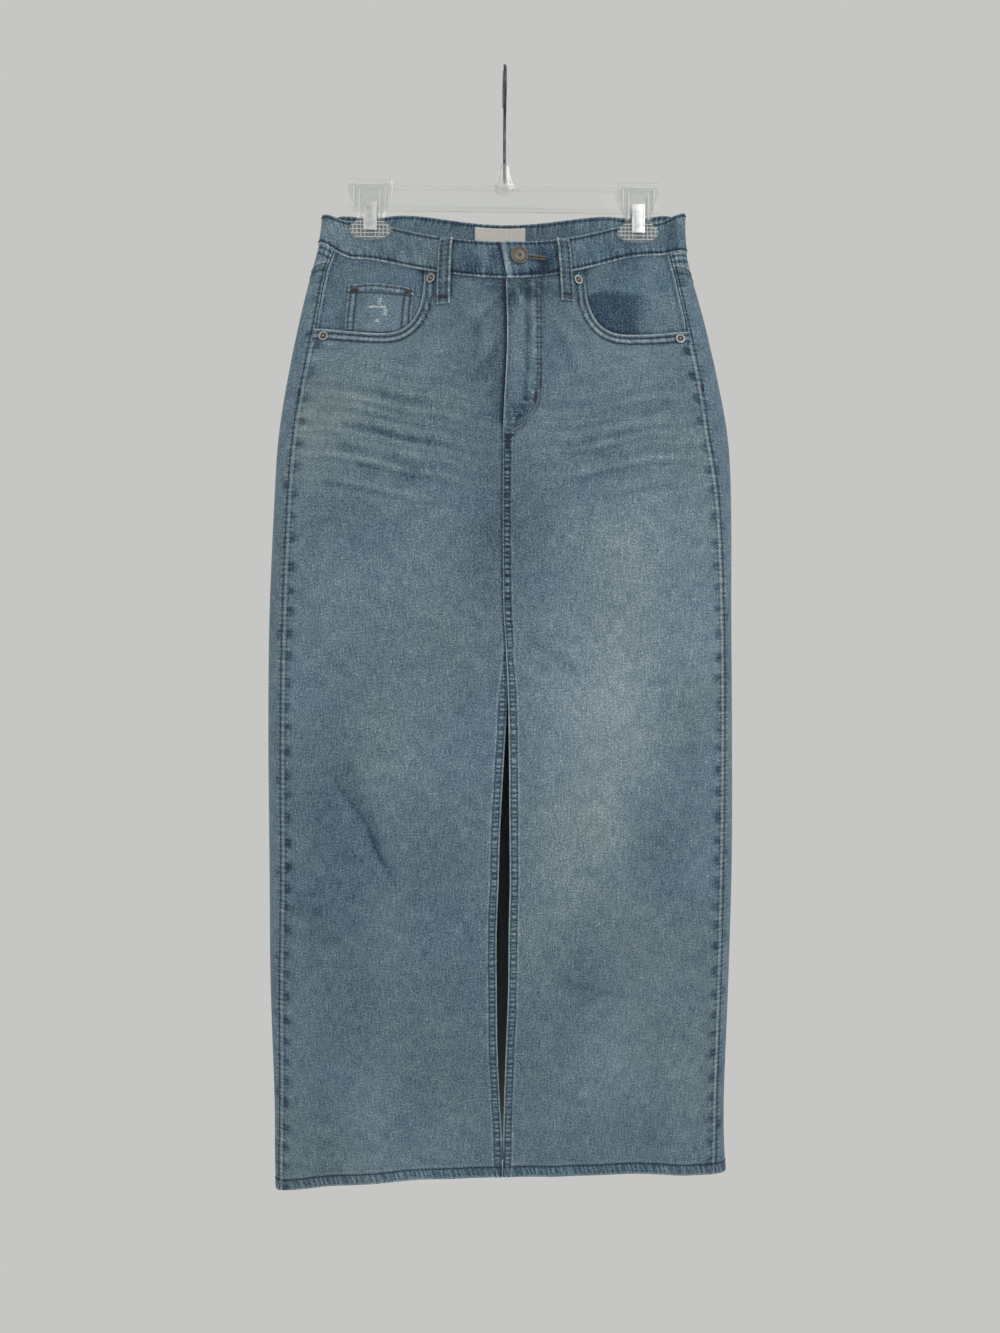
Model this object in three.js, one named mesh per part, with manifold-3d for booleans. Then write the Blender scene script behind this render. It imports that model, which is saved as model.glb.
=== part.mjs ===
// A long denim skirt that hangs from a clip hanger.
// Millimetres, +Z up, +X to the viewer's right; the skirt's front faces -Y.
// The origin is the inner top of the hanger's hook, where the hook rests on what holds it.
// "Right" and "left" in the pieces' names are the wearer's, so the right front is at -X.
import * as THREE from 'three';
import { mergeVertices } from 'three/addons/utils/BufferGeometryUtils.js';
import Module from 'manifold-3d';

const manifold = await Module();
manifold.setup();

// Cloth and gaps
const DENIM = 1.2;
const DOUBLED = 2.2;
const GAP = 0.3;
const BAND_PROUD = 0.9;
const BAND_INSIDE = -1.5;
const LAYER_GAP = 0.75;
const FACING_OUTER = -(DENIM + LAYER_GAP);
const ROPING = 0.7;

// Hanger
const BAR_LENGTH = 298;
const BAR_TOP = -107.7;
const BAR_BOTTOM = -131;
const BAR_HALF_DEPTH = 2.6;
const WIRE_RADIUS = 1.5;
const HOOK_RADIUS = 19.5;
const NECK_TOP = -87;
const CLIP_X = 128.5;
const PAD_HALF_WIDTH = 20.5;

// Small parts
const BUTTON = { x: 11.7, z: -184.9, radius: 8.5 };
const RIVET_RADIUS = 4.8;
const LOOP_WIDTH = 12;
const LOOP_THICKNESS = 1.7;

// The outer form of the skirt at each height: its two edges as seen from the front, how far the
// front and the back stand out from the plane of the hanger, and where the side seams run.
const SECTIONS = [
  { z: -125, left: -173.5, right: 174.5, front: 34, back: 27, seamRight: -158, seamLeft: 155 },
  { z: -149, left: -175.0, right: 174.4, front: 35, back: 29, seamRight: -160, seamLeft: 156 },
  { z: -168, left: -179.1, right: 176.6, front: 37, back: 32, seamRight: -163, seamLeft: 159 },
  { z: -192, left: -186.2, right: 182.6, front: 41, back: 38, seamRight: -171, seamLeft: 165 },
  { z: -234, left: -197.3, right: 195.1, front: 45, back: 44, seamRight: -179, seamLeft: 174 },
  { z: -291, left: -209.8, right: 208.9, front: 49, back: 48, seamRight: -190, seamLeft: 185 },
  { z: -348, left: -219.5, right: 219.8, front: 51, back: 50, seamRight: -200, seamLeft: 194 },
  { z: -406, left: -224.4, right: 223.9, front: 51, back: 51, seamRight: -206, seamLeft: 205 },
  { z: -523, left: -231.4, right: 226.4, front: 51, back: 50, seamRight: -213, seamLeft: 213 },
  { z: -643, left: -234.6, right: 229.4, front: 50, back: 48, seamRight: -217, seamLeft: 216 },
  { z: -765, left: -235.8, right: 231.5, front: 47, back: 46, seamRight: -219, seamLeft: 217 },
  { z: -889, left: -237.0, right: 230.5, front: 44, back: 43, seamRight: -223, seamLeft: 217 },
  { z: -1016, left: -235.3, right: 228.2, front: 38, back: 39, seamRight: -226, seamLeft: 216 },
  { z: -1069, left: -236.0, right: 229.5, front: 35, back: 37, seamRight: -228, seamLeft: 216 },
  { z: -1112, left: -235.9, right: 233.2, front: 33, back: 36, seamRight: -229, seamLeft: 216 },
];

// The centre front: the fly's folded edge, the seam below it, and the two edges of the slit.
const CENTRE_FRONT = [
  { z: -160, right: -1.9, left: -1.9 },
  { z: -260, right: 0.6, left: 0.6 },
  { z: -343, right: -3.1, left: -3.1 },
  { z: -503, right: -3.1, left: -3.1 },
  { z: -552, right: -0.3, left: -0.3 },
  { z: -598, right: 1.0, left: 1.6 },
  { z: -656, right: -2.0, left: 2.7 },
  { z: -724, right: -5.6, left: 3.2 },
  { z: -774, right: -6.9, left: 3.6 },
  { z: -829, right: -8.9, left: 2.6 },
  { z: -885, right: -8.7, left: 2.2 },
  { z: -936, right: -8.2, left: 0.5 },
  { z: -989, right: -6.3, left: -1.2 },
  { z: -1031, right: -3.9, left: -2.2 },
  { z: -1112, right: -3.0, left: -2.6 },
];

// The largest folds: a soft ridge, or a trough where its height is below nought, along a line.
const FOLDS = [
  { side: 'front', x0: -126, z0: -176, x1: -150, z1: -400, width: 22, height: 4 },
  { side: 'front', x0: 134, z0: -172, x1: 118, z1: -360, width: 24, height: 4 },
  { side: 'front', x0: -172, z0: -628, x1: -104, z1: -790, width: 13, height: -4 },
  { side: 'front', x0: -150, z0: -640, x1: -84, z1: -800, width: 18, height: 3 },
  { side: 'front', x0: 118, z0: -520, x1: 96, z1: -860, width: 30, height: 4 },
  { side: 'front', x0: -124, z0: -840, x1: -136, z1: -1160, width: 30, height: 4 },
  { side: 'front', x0: 150, z0: -800, x1: 128, z1: -1160, width: 32, height: -4 },
  { side: 'back', x0: -128, z0: -176, x1: -112, z1: -420, width: 24, height: 5 },
  { side: 'back', x0: 128, z0: -174, x1: 146, z1: -390, width: 22, height: 5 },
  { side: 'back', x0: -70, z0: -430, x1: -96, z1: -900, width: 34, height: -5 },
  { side: 'back', x0: 96, z0: -560, x1: 74, z1: -1160, width: 36, height: 5 },
  { side: 'back', x0: -150, z0: -760, x1: -140, z1: -1160, width: 30, height: 5 },
];

// Waistband edges on the front, from its middle to beyond the clips.
const BAND = {
  reach: 145,
  topMiddle: -171.5,
  bottomMiddle: -205.5,
  right: { topRise: 29, bottomRise: 28.5, edge: 175, topEdge: -136.6, bottomEdge: -164.6 },
  left: { topRise: 31.5, bottomRise: 34.5, edge: 175, topEdge: -131, bottomEdge: -169 },
  backTop: -134,
  backBottom: -172,
};

// Pocket openings, measured from the middle of the skirt.
const SCOOP = {
  start: 77.5,
  lowest: 121,
  top: -194,
  bottom: -251.7,
  side: -246,
  riseLength: 60,
  squareness: 2.6,
};
const YOKE_SIDE = -180;
const YOKE_MIDDLE = -236;
const HEM = { middle: -1082, right: -1108, left: -1097, back: -1104, turnUp: 12 };
const SLIT_TOP = -552;
const FLY_BOTTOM = -343;

const mix = (a, b, t) => a + (b - a) * t;
const clamp = (value, low, high) => Math.min(high, Math.max(low, value));
const smooth = (t) => {
  const s = clamp(t, 0, 1);
  return s * s * (3 - 2 * s);
};

// Reads a column of a table that runs down the skirt, as a smooth curve through its rows.
function read(table, column, z) {
  const last = table.length - 1;
  if (z >= table[0].z) return table[0][column];
  if (z <= table[last].z) return table[last][column];
  let i = 0;
  while (table[i + 1].z > z) i += 1;
  const slope = (k) => {
    const before = table[Math.max(0, k - 1)];
    const after = table[Math.min(last, k + 1)];
    return (after[column] - before[column]) / (after.z - before.z);
  };
  const span = table[i + 1].z - table[i].z;
  const t = (z - table[i].z) / span;
  const a = table[i][column];
  const b = table[i + 1][column];
  return (
    a * (1 + 2 * t) * (1 - t) ** 2 +
    b * t * t * (3 - 2 * t) +
    span * slope(i) * t * (1 - t) ** 2 -
    span * slope(i + 1) * t * t * (1 - t)
  );
}

// Half the thickness that the closed clips leave the cloth, and the shape the waist takes there:
// bowed between the clips, flat in the jaws and looped outside them.
const HELD = 1.7;
const FLAT_HALF_WIDTH = PAD_HALF_WIDTH + 2.5;
const END_LOOP = 7;
const LOOP_PEAK = 2.37;

function heldDepth(across, half, reach) {
  const inner = CLIP_X - FLAT_HALF_WIDTH;
  const outer = CLIP_X + FLAT_HALF_WIDTH;
  if (across < inner) {
    return HELD + (reach - HELD) * Math.cos((Math.PI / 2) * (across / inner)) ** 1.7;
  }
  if (across < outer) return HELD;
  const v = clamp((across - outer) / (half - outer), 0, 1);
  return (HELD + END_LOOP * LOOP_PEAK * Math.sin((Math.PI / 2) * v) ** 2) * Math.sqrt(1 - v);
}

// How much the clips still shape the cloth at a height: wholly at the waist, not at all below.
const HELD_ABOVE = -165;
const FREE_BELOW = -330;
const FULLNESS = 0.8;

function foldAt(side, x, z) {
  let lift = 0;
  for (const fold of FOLDS) {
    if (fold.side !== side) continue;
    const dx = fold.x1 - fold.x0;
    const dz = fold.z1 - fold.z0;
    const length = Math.hypot(dx, dz);
    const along = ((x - fold.x0) * dx + (z - fold.z0) * dz) / (length * length);
    const away = ((x - fold.x0) * dz - (z - fold.z0) * dx) / length;
    const ends = smooth(along * 3) * smooth((1 - along) * 3);
    lift += fold.height * ends * Math.exp(-((away / fold.width) ** 2));
  }
  return lift;
}

// A point of the outer form. The angle is 0 at the centre front, positive towards +X.
function formPoint(angle, z) {
  const left = read(SECTIONS, 'left', z);
  const right = read(SECTIONS, 'right', z);
  const half = (right - left) / 2;
  const across = half * Math.sin(angle);
  const x = (left + right) / 2 + across;
  const facing = Math.cos(angle) >= 0 ? 'front' : 'back';
  const reach = read(SECTIONS, facing, z);
  const free = reach * Math.abs(Math.cos(angle)) ** FULLNESS;
  const held = heldDepth(Math.abs(across), half, reach);
  const freedom = smooth((HELD_ABOVE - z) / (HELD_ABOVE - FREE_BELOW));
  const depth = mix(held, free, freedom) + foldAt(facing, x, z);
  return new THREE.Vector3(x, facing === 'front' ? -depth : depth, z);
}

function formNormal(angle, z) {
  const step = 0.004;
  const drop = 0.5;
  const around = formPoint(angle + step, z).sub(formPoint(angle - step, z));
  const down = formPoint(angle, z - drop).sub(formPoint(angle, z + drop));
  return down.cross(around).normalize();
}

// A point lifted off the form along its normal.
const lifted = (angle, z, lift) =>
  formPoint(angle, z).addScaledVector(formNormal(angle, z), lift);

// The angle at which the front has a given x.
function angleOf(x, z) {
  const left = read(SECTIONS, 'left', z);
  const right = read(SECTIONS, 'right', z);
  return Math.asin(clamp((2 * x - left - right) / (right - left), -1, 1));
}

const backAngleOf = (x, z) => Math.PI - angleOf(x, z);

// The angle of the side seam, moved along the cloth by a distance towards the back.
function seamAngle(side, z, towardsBack = 0) {
  const x = read(SECTIONS, side === 'right' ? 'seamRight' : 'seamLeft', z);
  const angle = Math.abs(angleOf(x, z));
  const step = 0.01;
  const run = formPoint(angle + step, z).distanceTo(formPoint(angle, z)) / step;
  return angle + towardsBack / run;
}

const sign = (side) => (side === 'right' ? -1 : 1);

// Edges of the waistband. The front dips between the clips, and the back is nearly level.
function frontBandEdge(x, edge) {
  const half = BAND[x < 0 ? 'right' : 'left'];
  const middle = edge === 'top' ? BAND.topMiddle : BAND.bottomMiddle;
  const rise = edge === 'top' ? half.topRise : half.bottomRise;
  const end = edge === 'top' ? half.topEdge : half.bottomEdge;
  const across = Math.abs(x);
  const curve = (1 - Math.cos(Math.PI * Math.min(1, across / BAND.reach))) / 2;
  const beyond = clamp((across - BAND.reach) / (half.edge - BAND.reach), 0, 1);
  return middle + rise * curve + (end - middle - rise) * beyond ** 1.3;
}

function backBandEdge(angle, edge) {
  const half = BAND[Math.sin(angle) < 0 ? 'right' : 'left'];
  const side = edge === 'top' ? half.topEdge : half.bottomEdge;
  const middle = edge === 'top' ? BAND.backTop : BAND.backBottom;
  const gripped = 3 * Math.exp(-(((Math.abs(Math.sin(angle)) - 0.73) / 0.12) ** 2));
  return mix(middle, side, Math.abs(Math.sin(angle)) ** 3) - (edge === 'top' ? gripped : 0);
}

function bandEdge(angle, edge) {
  if (Math.cos(angle) < 0) return backBandEdge(angle, edge);
  let z = BAND.bottomMiddle;
  for (let pass = 0; pass < 6; pass += 1) z = frontBandEdge(formPoint(angle, z).x, edge);
  return z;
}

// The hem, higher at the centre front than at the sides.
function hemEdge(angle) {
  const side = Math.sin(angle) < 0 ? HEM.right : HEM.left;
  const middle = Math.cos(angle) < 0 ? HEM.back : HEM.middle;
  return mix(middle, side, Math.abs(Math.sin(angle)) ** 2.5);
}

// The seam under the back yoke, from the side seam down to the centre back.
function yokeEdge(side, angle) {
  const start = seamAngle(side, YOKE_SIDE);
  const along = clamp((Math.abs(angle) - start) / (Math.PI - start), 0, 1);
  return mix(YOKE_SIDE, YOKE_MIDDLE, along ** 1.3);
}

// The pocket opening's edge, as the points of a quarter of a squared-off ellipse and a rise.
function scoopEdge(across) {
  const { start, lowest, top, bottom, side, riseLength, squareness } = SCOOP;
  if (across >= lowest) return mix(bottom, side, smooth((across - lowest) / riseLength));
  const out = clamp((lowest - across) / (lowest - start), 0, 1);
  return mix(top, bottom, (1 - out ** squareness) ** (1 / squareness));
}

// Solids

function solid(positions, triangles) {
  const geometry = new THREE.BufferGeometry();
  geometry.setAttribute('position', new THREE.Float32BufferAttribute(positions, 3));
  let volume = 0;
  const point = (i) => new THREE.Vector3().fromArray(positions, 3 * i);
  for (let t = 0; t < triangles.length; t += 3) {
    const [a, b, c] = [0, 1, 2].map((k) => point(triangles[t + k]));
    volume += a.dot(b.cross(c));
  }
  const outward = volume > 0 ? triangles : [...triangles].reverse();
  geometry.setIndex(outward);
  geometry.computeVertexNormals();
  return geometry;
}

// A wall between two grids of points of the same size, closed along its four edges.
function wall(outer, inner) {
  const rows = outer.length;
  const columns = outer[0].length;
  const positions = [...outer.flat(), ...inner.flat()].flatMap((p) => p.toArray());
  const index = (face, row, column) => (face * rows + row) * columns + column;
  const triangles = [];
  const quad = (a, b, c, d) => triangles.push(a, b, c, a, c, d);
  for (let r = 0; r < rows - 1; r += 1) {
    for (let c = 0; c < columns - 1; c += 1) {
      quad(index(0, r, c), index(0, r + 1, c), index(0, r + 1, c + 1), index(0, r, c + 1));
      quad(index(1, r, c), index(1, r, c + 1), index(1, r + 1, c + 1), index(1, r + 1, c));
    }
  }
  for (let r = 0; r < rows - 1; r += 1) {
    const end = columns - 1;
    quad(index(0, r, 0), index(1, r, 0), index(1, r + 1, 0), index(0, r + 1, 0));
    quad(index(0, r, end), index(0, r + 1, end), index(1, r + 1, end), index(1, r, end));
  }
  for (let c = 0; c < columns - 1; c += 1) {
    const end = rows - 1;
    quad(index(0, 0, c), index(0, 0, c + 1), index(1, 0, c + 1), index(1, 0, c));
    quad(index(0, end, c), index(1, end, c), index(1, end, c + 1), index(0, end, c + 1));
  }
  return solid(positions, triangles);
}

// Cloth on the form: each place of the grid has its angle and height, and each side its lift.
function cloth(places, outerLift, innerLift) {
  const grid = (lift) =>
    places.map((row, r) => row.map((p, c) => lifted(p.angle, p.z, lift(r, c, p))));
  return wall(grid(outerLift), grid(innerLift));
}

const steps = (count, from = 0, to = 1) =>
  Array.from({ length: count + 1 }, (_, i) => mix(from, to, i / count));

// Heights of a long panel's rows. Below the pocket openings all panels share their levels, so
// that the side seams' edges match, and two rows bound the upper edge of the hem's turn-up.
const HIP = -278;
const LEVELS = [HIP, ...steps(12, -300, -900), -950, -1000, -1045];

function panelHeights(top, bottom, byPocket) {
  const upper = byPocket
    ? [...steps(3, top, SCOOP.side).slice(0, 3), ...steps(3, SCOOP.side, HIP).slice(0, 3)]
    : steps(3, top, HIP).slice(0, 3);
  return [...upper, ...LEVELS, bottom + HEM.turnUp + 1, bottom + HEM.turnUp, bottom];
}

// Turns a list of columns, each a list of places, into rows.
const rowsOf = (strips) => strips[0].map((_, r) => strips.map((strip) => strip[r]));

// The edge of a front at the centre, moved away from it by a distance along X.
function centreAngle(side, z, away) {
  const x = read(CENTRE_FRONT, side, z) + sign(side) * away;
  return angleOf(x, z);
}

// A front panel, from the centre to the side seam, with the pocket opening cut out of its top.
const SEAM_ALLOWANCE = 9;
const SLIT_FACING = 14;

function frontPlaces(side) {
  const inset = SLIT_FACING + 1.5;
  const fraction = (x, z) => {
    const from = centreAngle(side, z, inset);
    const to = sign(side) * seamAngle(side, z, -GAP / 2);
    return (angleOf(sign(side) * x, z) - from) / (to - from);
  };
  const columns = [GAP / 2, SEAM_ALLOWANCE, SLIT_FACING, inset].map((away) => ({ away }));
  for (const x of steps(3, 30, SCOOP.start - 8)) columns.push({ u: fraction(x, SCOOP.top) });
  columns.push({ u: fraction(SCOOP.start, SCOOP.top) });
  for (const turn of steps(3, 34, 90).map((degrees) => (degrees * Math.PI) / 180)) {
    const power = 2 / SCOOP.squareness;
    const x = mix(SCOOP.lowest, SCOOP.start, Math.max(0, Math.cos(turn)) ** power);
    const z = mix(SCOOP.top, SCOOP.bottom, Math.sin(turn) ** power);
    columns.push({ u: fraction(x, z), top: z });
  }
  for (const x of [136, 154]) columns.push({ u: fraction(x, SCOOP.bottom), top: scoopEdge(x) });
  columns.push({ u: 1, top: SCOOP.side });
  const angleAt = (column, z) => {
    if (column.away !== undefined) return centreAngle(side, z, column.away);
    const from = centreAngle(side, z, inset);
    return mix(from, sign(side) * seamAngle(side, z, -GAP / 2), column.u);
  };
  const topOf = (column) => {
    if (column.top) return column.top;
    let z = BAND.bottomMiddle;
    for (let pass = 0; pass < 4; pass += 1) z = bandEdge(angleAt(column, z), 'bottom');
    return z - GAP / 2;
  };
  const strips = columns.map((column) => {
    const bottom = hemEdge(angleAt(column, HEM.middle));
    const heights = panelHeights(topOf(column), bottom, false);
    return heights.map((z) => ({ angle: angleAt(column, z), z }));
  });
  return rowsOf(strips);
}

// A front's seam allowance is felled on the wearer's left, where it stands as a rope of cloth
// down to the slit; the slit's facings and the hem are two layers thick.
function frontPanel(side) {
  const places = frontPlaces(side);
  const turnedUp = places.length - 2;
  const roped = (r, c, p) =>
    side === 'left' && c < 2 && p.z < FLY_BOTTOM && p.z > SLIT_TOP ? ROPING : 0;
  const faced = (r, c, p) => r >= turnedUp || (c < 3 && p.z < SLIT_TOP);
  return cloth(places, roped, (r, c, p) => (faced(r, c, p) ? -DOUBLED : -DENIM));
}

// Places of a back piece between two edges, from the side seam round to the centre back.
const BACK_COLUMNS = 17;

function backPlaces(side, heights, topEdge, bottomEdge) {
  const strips = steps(BACK_COLUMNS).map((u) => {
    const angleAt = (z) => {
      const from = seamAngle(side, z, GAP / 2);
      const middle = backAngleOf(sign(side) * (GAP / 2), z);
      const to = side === 'right' ? 2 * Math.PI - middle : middle;
      return sign(side) * mix(from, to, u);
    };
    let top = YOKE_SIDE;
    let bottom = HEM.back;
    for (let pass = 0; pass < 4; pass += 1) {
      top = topEdge(angleAt(top)) - GAP / 2;
      bottom = bottomEdge(angleAt(bottom));
    }
    return heights(top, bottom).map((z) => ({ angle: angleAt(z), z }));
  });
  return rowsOf(strips);
}

function backPanel(side) {
  const heights = (top, bottom) => panelHeights(top, bottom, true);
  const places = backPlaces(side, heights, (angle) => yokeEdge(side, angle), hemEdge);
  const turnedUp = places.length - 2;
  return cloth(places, () => 0, (r) => (r >= turnedUp ? -DOUBLED : -DENIM));
}

function backYoke(side) {
  const lower = (angle) => yokeEdge(side, angle) + GAP / 2;
  const upper = (angle) => bandEdge(angle, 'bottom');
  const heights = (top, bottom) => steps(3, top, bottom);
  return cloth(backPlaces(side, heights, upper, lower), () => 0, () => -DENIM);
}

// Half of the waistband, from the centre front round the side to the centre back. Its lap slants
// at the centre front: the table gives its X at the band's top and bottom edges.
const BAND_COLUMNS = 36;
const LAP = { top: -5.2, bottom: 0.4 };
const BACK_RADIUS = 174;

function waistband(side) {
  const places = steps(3).map((part) => {
    const lapX = mix(LAP.top, LAP.bottom, part) + sign(side) * (GAP / 2);
    const from = angleOf(lapX, mix(BAND.topMiddle, BAND.bottomMiddle, part));
    const to = sign(side) * (Math.PI - GAP / 2 / BACK_RADIUS);
    return steps(BAND_COLUMNS).map((u) => {
      const angle = mix(from, to, u);
      const z = mix(bandEdge(angle, 'top'), bandEdge(angle, 'bottom') + GAP / 2, part);
      return { angle, z };
    });
  });
  return cloth(places, () => BAND_PROUD, () => BAND_INSIDE);
}

// The pocket facing, sewn in at the waistband and the side seam. It lies under the front at the
// opening's edge and comes up level with it inside the opening.
const FACING = { flat: 3, rise: 12, sideSlope: 1.2, behind: 14, below: 16 };

function facingLift(p) {
  const across = Math.abs(formPoint(p.angle, p.z).x);
  const fromSide = FACING.sideSlope * (across - SCOOP.start);
  const inside = Math.min(p.z - scoopEdge(across), fromSide);
  return mix(FACING_OUTER, 0, smooth((inside - FACING.flat) / FACING.rise));
}

function pocketFacing(side) {
  const inner = SCOOP.start - FACING.behind;
  const places = steps(8).map((part) =>
    steps(15).map((u) => {
      const angleAt = (z) => {
        const from = Math.abs(angleOf(sign(side) * inner, z));
        return sign(side) * mix(from, seamAngle(side, z, -LAYER_GAP), u);
      };
      let top = SCOOP.top;
      for (let pass = 0; pass < 4; pass += 1) top = bandEdge(angleAt(top), 'bottom') - GAP / 2;
      const bottom = mix(SCOOP.bottom, SCOOP.side, u ** 2) - FACING.below;
      const z = mix(top, bottom, part);
      return { angle: angleAt(z), z };
    }),
  );
  return cloth(places, (r, c, p) => facingLift(p), (r, c, p) => facingLift(p) - DENIM);
}

// The coin pocket on the wearer's right facing, down to the edge of the opening.
const COIN = { topLeft: [-149.2, -203.4], topRight: [-86.2, -208.2], lean: 0.07, arch: 3.8 };

function coinPocket() {
  const clear = 1.3;
  const places = steps(5).map((part) =>
    steps(9).map((u) => {
      const x = mix(COIN.topLeft[0], COIN.topRight[0], u);
      const arch = COIN.arch * Math.sin(Math.PI * u);
      const top = mix(COIN.topLeft[1], COIN.topRight[1], u) + arch;
      const slant = (z) => x + COIN.lean * (z - top) * mix(1, 1.4, u);
      let bottom = SCOOP.bottom;
      for (let pass = 0; pass < 6; pass += 1) bottom = scoopEdge(Math.abs(slant(bottom))) + clear;
      const z = mix(top, bottom, part);
      return { angle: angleOf(slant(z), z), z };
    }),
  );
  const base = (r, c, p) => facingLift(p) + LAYER_GAP;
  return cloth(places, (r, c, p) => base(r, c, p) + DENIM, base);
}

// The closed zip: its two tapes as one strip with the chain standing on them, behind the fly.
const ZIP = { left: -11, right: 25, chain: 6, top: -207.5, bottom: -336, thickness: 0.8 };
const CHAIN_THICKNESS = 1.6;

function zip() {
  const tape = FACING_OUTER - ZIP.thickness;
  const xs = [ZIP.left, ZIP.chain - 3.5, ZIP.chain - 2.5, ZIP.chain + 2.5, ZIP.chain + 3.5, ZIP.right];
  const places = steps(8).map((part) => {
    const z = mix(ZIP.top, ZIP.bottom, part);
    return xs.map((x) => ({ angle: angleOf(x, z), z }));
  });
  const onChain = (c) => c === 2 || c === 3;
  return cloth(places, () => FACING_OUTER, (r, c) => (onChain(c) ? tape - CHAIN_THICKNESS : tape));
}

// A belt loop: a strap that starts at the waistband's top edge, stands off the band so that a
// belt passes behind it, and is sewn down on the panel below. Its middle swells a little.
const LOOP_SWELL = 0.4;
const LOOPS = [
  { name: 'belt_loop_front_right', x: -54.7, foot: -57.6, drop: 30, back: false },
  { name: 'belt_loop_front_left', x: 53.6, foot: 57.9, drop: 27, back: false },
  { name: 'belt_loop_back_right', x: -98, foot: -99, drop: 12, back: true },
  { name: 'belt_loop_back_middle', x: 0, foot: 0, drop: 12, back: true },
  { name: 'belt_loop_back_left', x: 98, foot: 99, drop: 12, back: true },
];

function beltLoop(loop) {
  const turn = loop.back ? backAngleOf : angleOf;
  const middle = turn(loop.x, BAND.topMiddle);
  const top = bandEdge(middle, 'top') - 0.8;
  const seam = bandEdge(middle, 'bottom');
  const bottom = seam - loop.drop;
  const base = (z) => {
    const overBand = smooth((z - seam + 5) / 5);
    const slack = 1.4 * smooth((top - z) / 9) * smooth((z - bottom) / 12);
    return mix(LAYER_GAP, BAND_PROUD + GAP, overBand) + slack;
  };
  const rows = [0, 0.05, 0.16, 0.32, 0.48, 0.62, 0.74, 0.86, 0.95, 1];
  const places = rows.map((part) => {
    const z = mix(top, bottom, part);
    const x = mix(loop.x, loop.foot, part);
    const edges = [-0.5, 0, 0.5].map((side) => turn(x + side * LOOP_WIDTH, z));
    return edges.map((angle) => ({ angle, z }));
  });
  const thick = (r) => LOOP_THICKNESS + (r === 0 || r === rows.length - 1 ? 0 : LOOP_SWELL);
  return cloth(places, (r, c, p) => base(p.z) + thick(r), (r, c, p) => base(p.z));
}

// Turned metal on the cloth: a profile of radius and height, set on the form along its normal.
function turned(profile, segments) {
  const points = profile.map(([radius, height]) => new THREE.Vector2(radius, height));
  const lathe = new THREE.LatheGeometry(points, segments);
  lathe.deleteAttribute('uv');
  lathe.deleteAttribute('normal');
  return mergeVertices(lathe, 1e-3);
}

function setOn(mesh, x, z, lift) {
  const angle = angleOf(x, z);
  mesh.position.copy(lifted(angle, z, lift));
  mesh.quaternion.setFromUnitVectors(new THREE.Vector3(0, 1, 0), formNormal(angle, z));
  return mesh;
}

const BUTTON_PROFILE = [
  [0, 0],
  [3.4, 0],
  [3.4, 1.4],
  [BUTTON.radius - 0.8, 1.6],
  [BUTTON.radius, 2.3],
  [BUTTON.radius - 0.3, 3.1],
  [BUTTON.radius - 1.6, 3.6],
  [BUTTON.radius - 2.6, 3.0],
  [2.6, 3.1],
  [1.2, 3.5],
  [0, 3.6],
];

const RIVET_PROFILE = [
  [0, 0],
  [RIVET_RADIUS - 0.4, 0],
  [RIVET_RADIUS, 0.5],
  [RIVET_RADIUS - 0.6, 1.1],
  [2.3, 1.2],
  [1.7, 0.7],
  [1.2, 0.7],
  [0.9, 1.5],
  [0, 1.7],
];

const RIVETS = [
  { name: 'rivet_front_right', x: -70.2, z: -199.0 },
  { name: 'rivet_side_right', x: -172.6, z: -253.6 },
  { name: 'rivet_front_left', x: 69.6, z: -198.8 },
  { name: 'rivet_side_left', x: 168.0, z: -253.6 },
];

// The blank label, sewn inside the back of the waistband.
const LABEL = { left: -29, right: 22, top: -137.5, height: 26, thickness: 0.5 };

function label() {
  const places = steps(2).map((part) => {
    const z = LABEL.top - LABEL.height * part;
    return steps(6).map((u) => ({ angle: backAngleOf(mix(LABEL.left, LABEL.right, u), z), z }));
  });
  const outer = BAND_INSIDE - LAYER_GAP;
  return cloth(places, () => outer, () => outer - LABEL.thickness);
}

// Hanger: a moulded I-shaped bar with a flared neck, and the wire hook turned in the neck.
function toSolid(geometry) {
  const bare = geometry.index ? geometry : mergeVertices(stripped(geometry), 1e-4);
  return new manifold.Manifold(
    new manifold.Mesh({
      numProp: 3,
      vertProperties: new Float32Array(bare.attributes.position.array),
      triVerts: new Uint32Array(bare.index.array),
    }),
  );
}

function stripped(geometry) {
  const bare = geometry.clone();
  bare.deleteAttribute('uv');
  bare.deleteAttribute('normal');
  return bare;
}

function toGeometry(body) {
  const mesh = body.getMesh();
  const geometry = new THREE.BufferGeometry();
  geometry.setAttribute('position', new THREE.BufferAttribute(mesh.vertProperties, 3));
  geometry.setIndex([...mesh.triVerts]);
  geometry.computeVertexNormals();
  return geometry;
}

// A flat outline extruded, merged into one closed mesh.
function extruded(shape, options) {
  return mergeVertices(stripped(new THREE.ExtrudeGeometry(shape, options)), 1e-4);
}

// Turns an outline drawn in X and Z, extruded along its own third axis, upright.
const upright = (geometry) => geometry.rotateX(Math.PI / 2);

// Turns an outline drawn in Y and Z, extruded by a length, to lie along X about the middle.
function alongX(geometry, length) {
  geometry.translate(0, 0, -length / 2);
  return geometry.applyMatrix4(
    new THREE.Matrix4().set(0, 0, 1, 0, 1, 0, 0, 0, 0, 1, 0, 0, 0, 0, 0, 1),
  );
}

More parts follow.
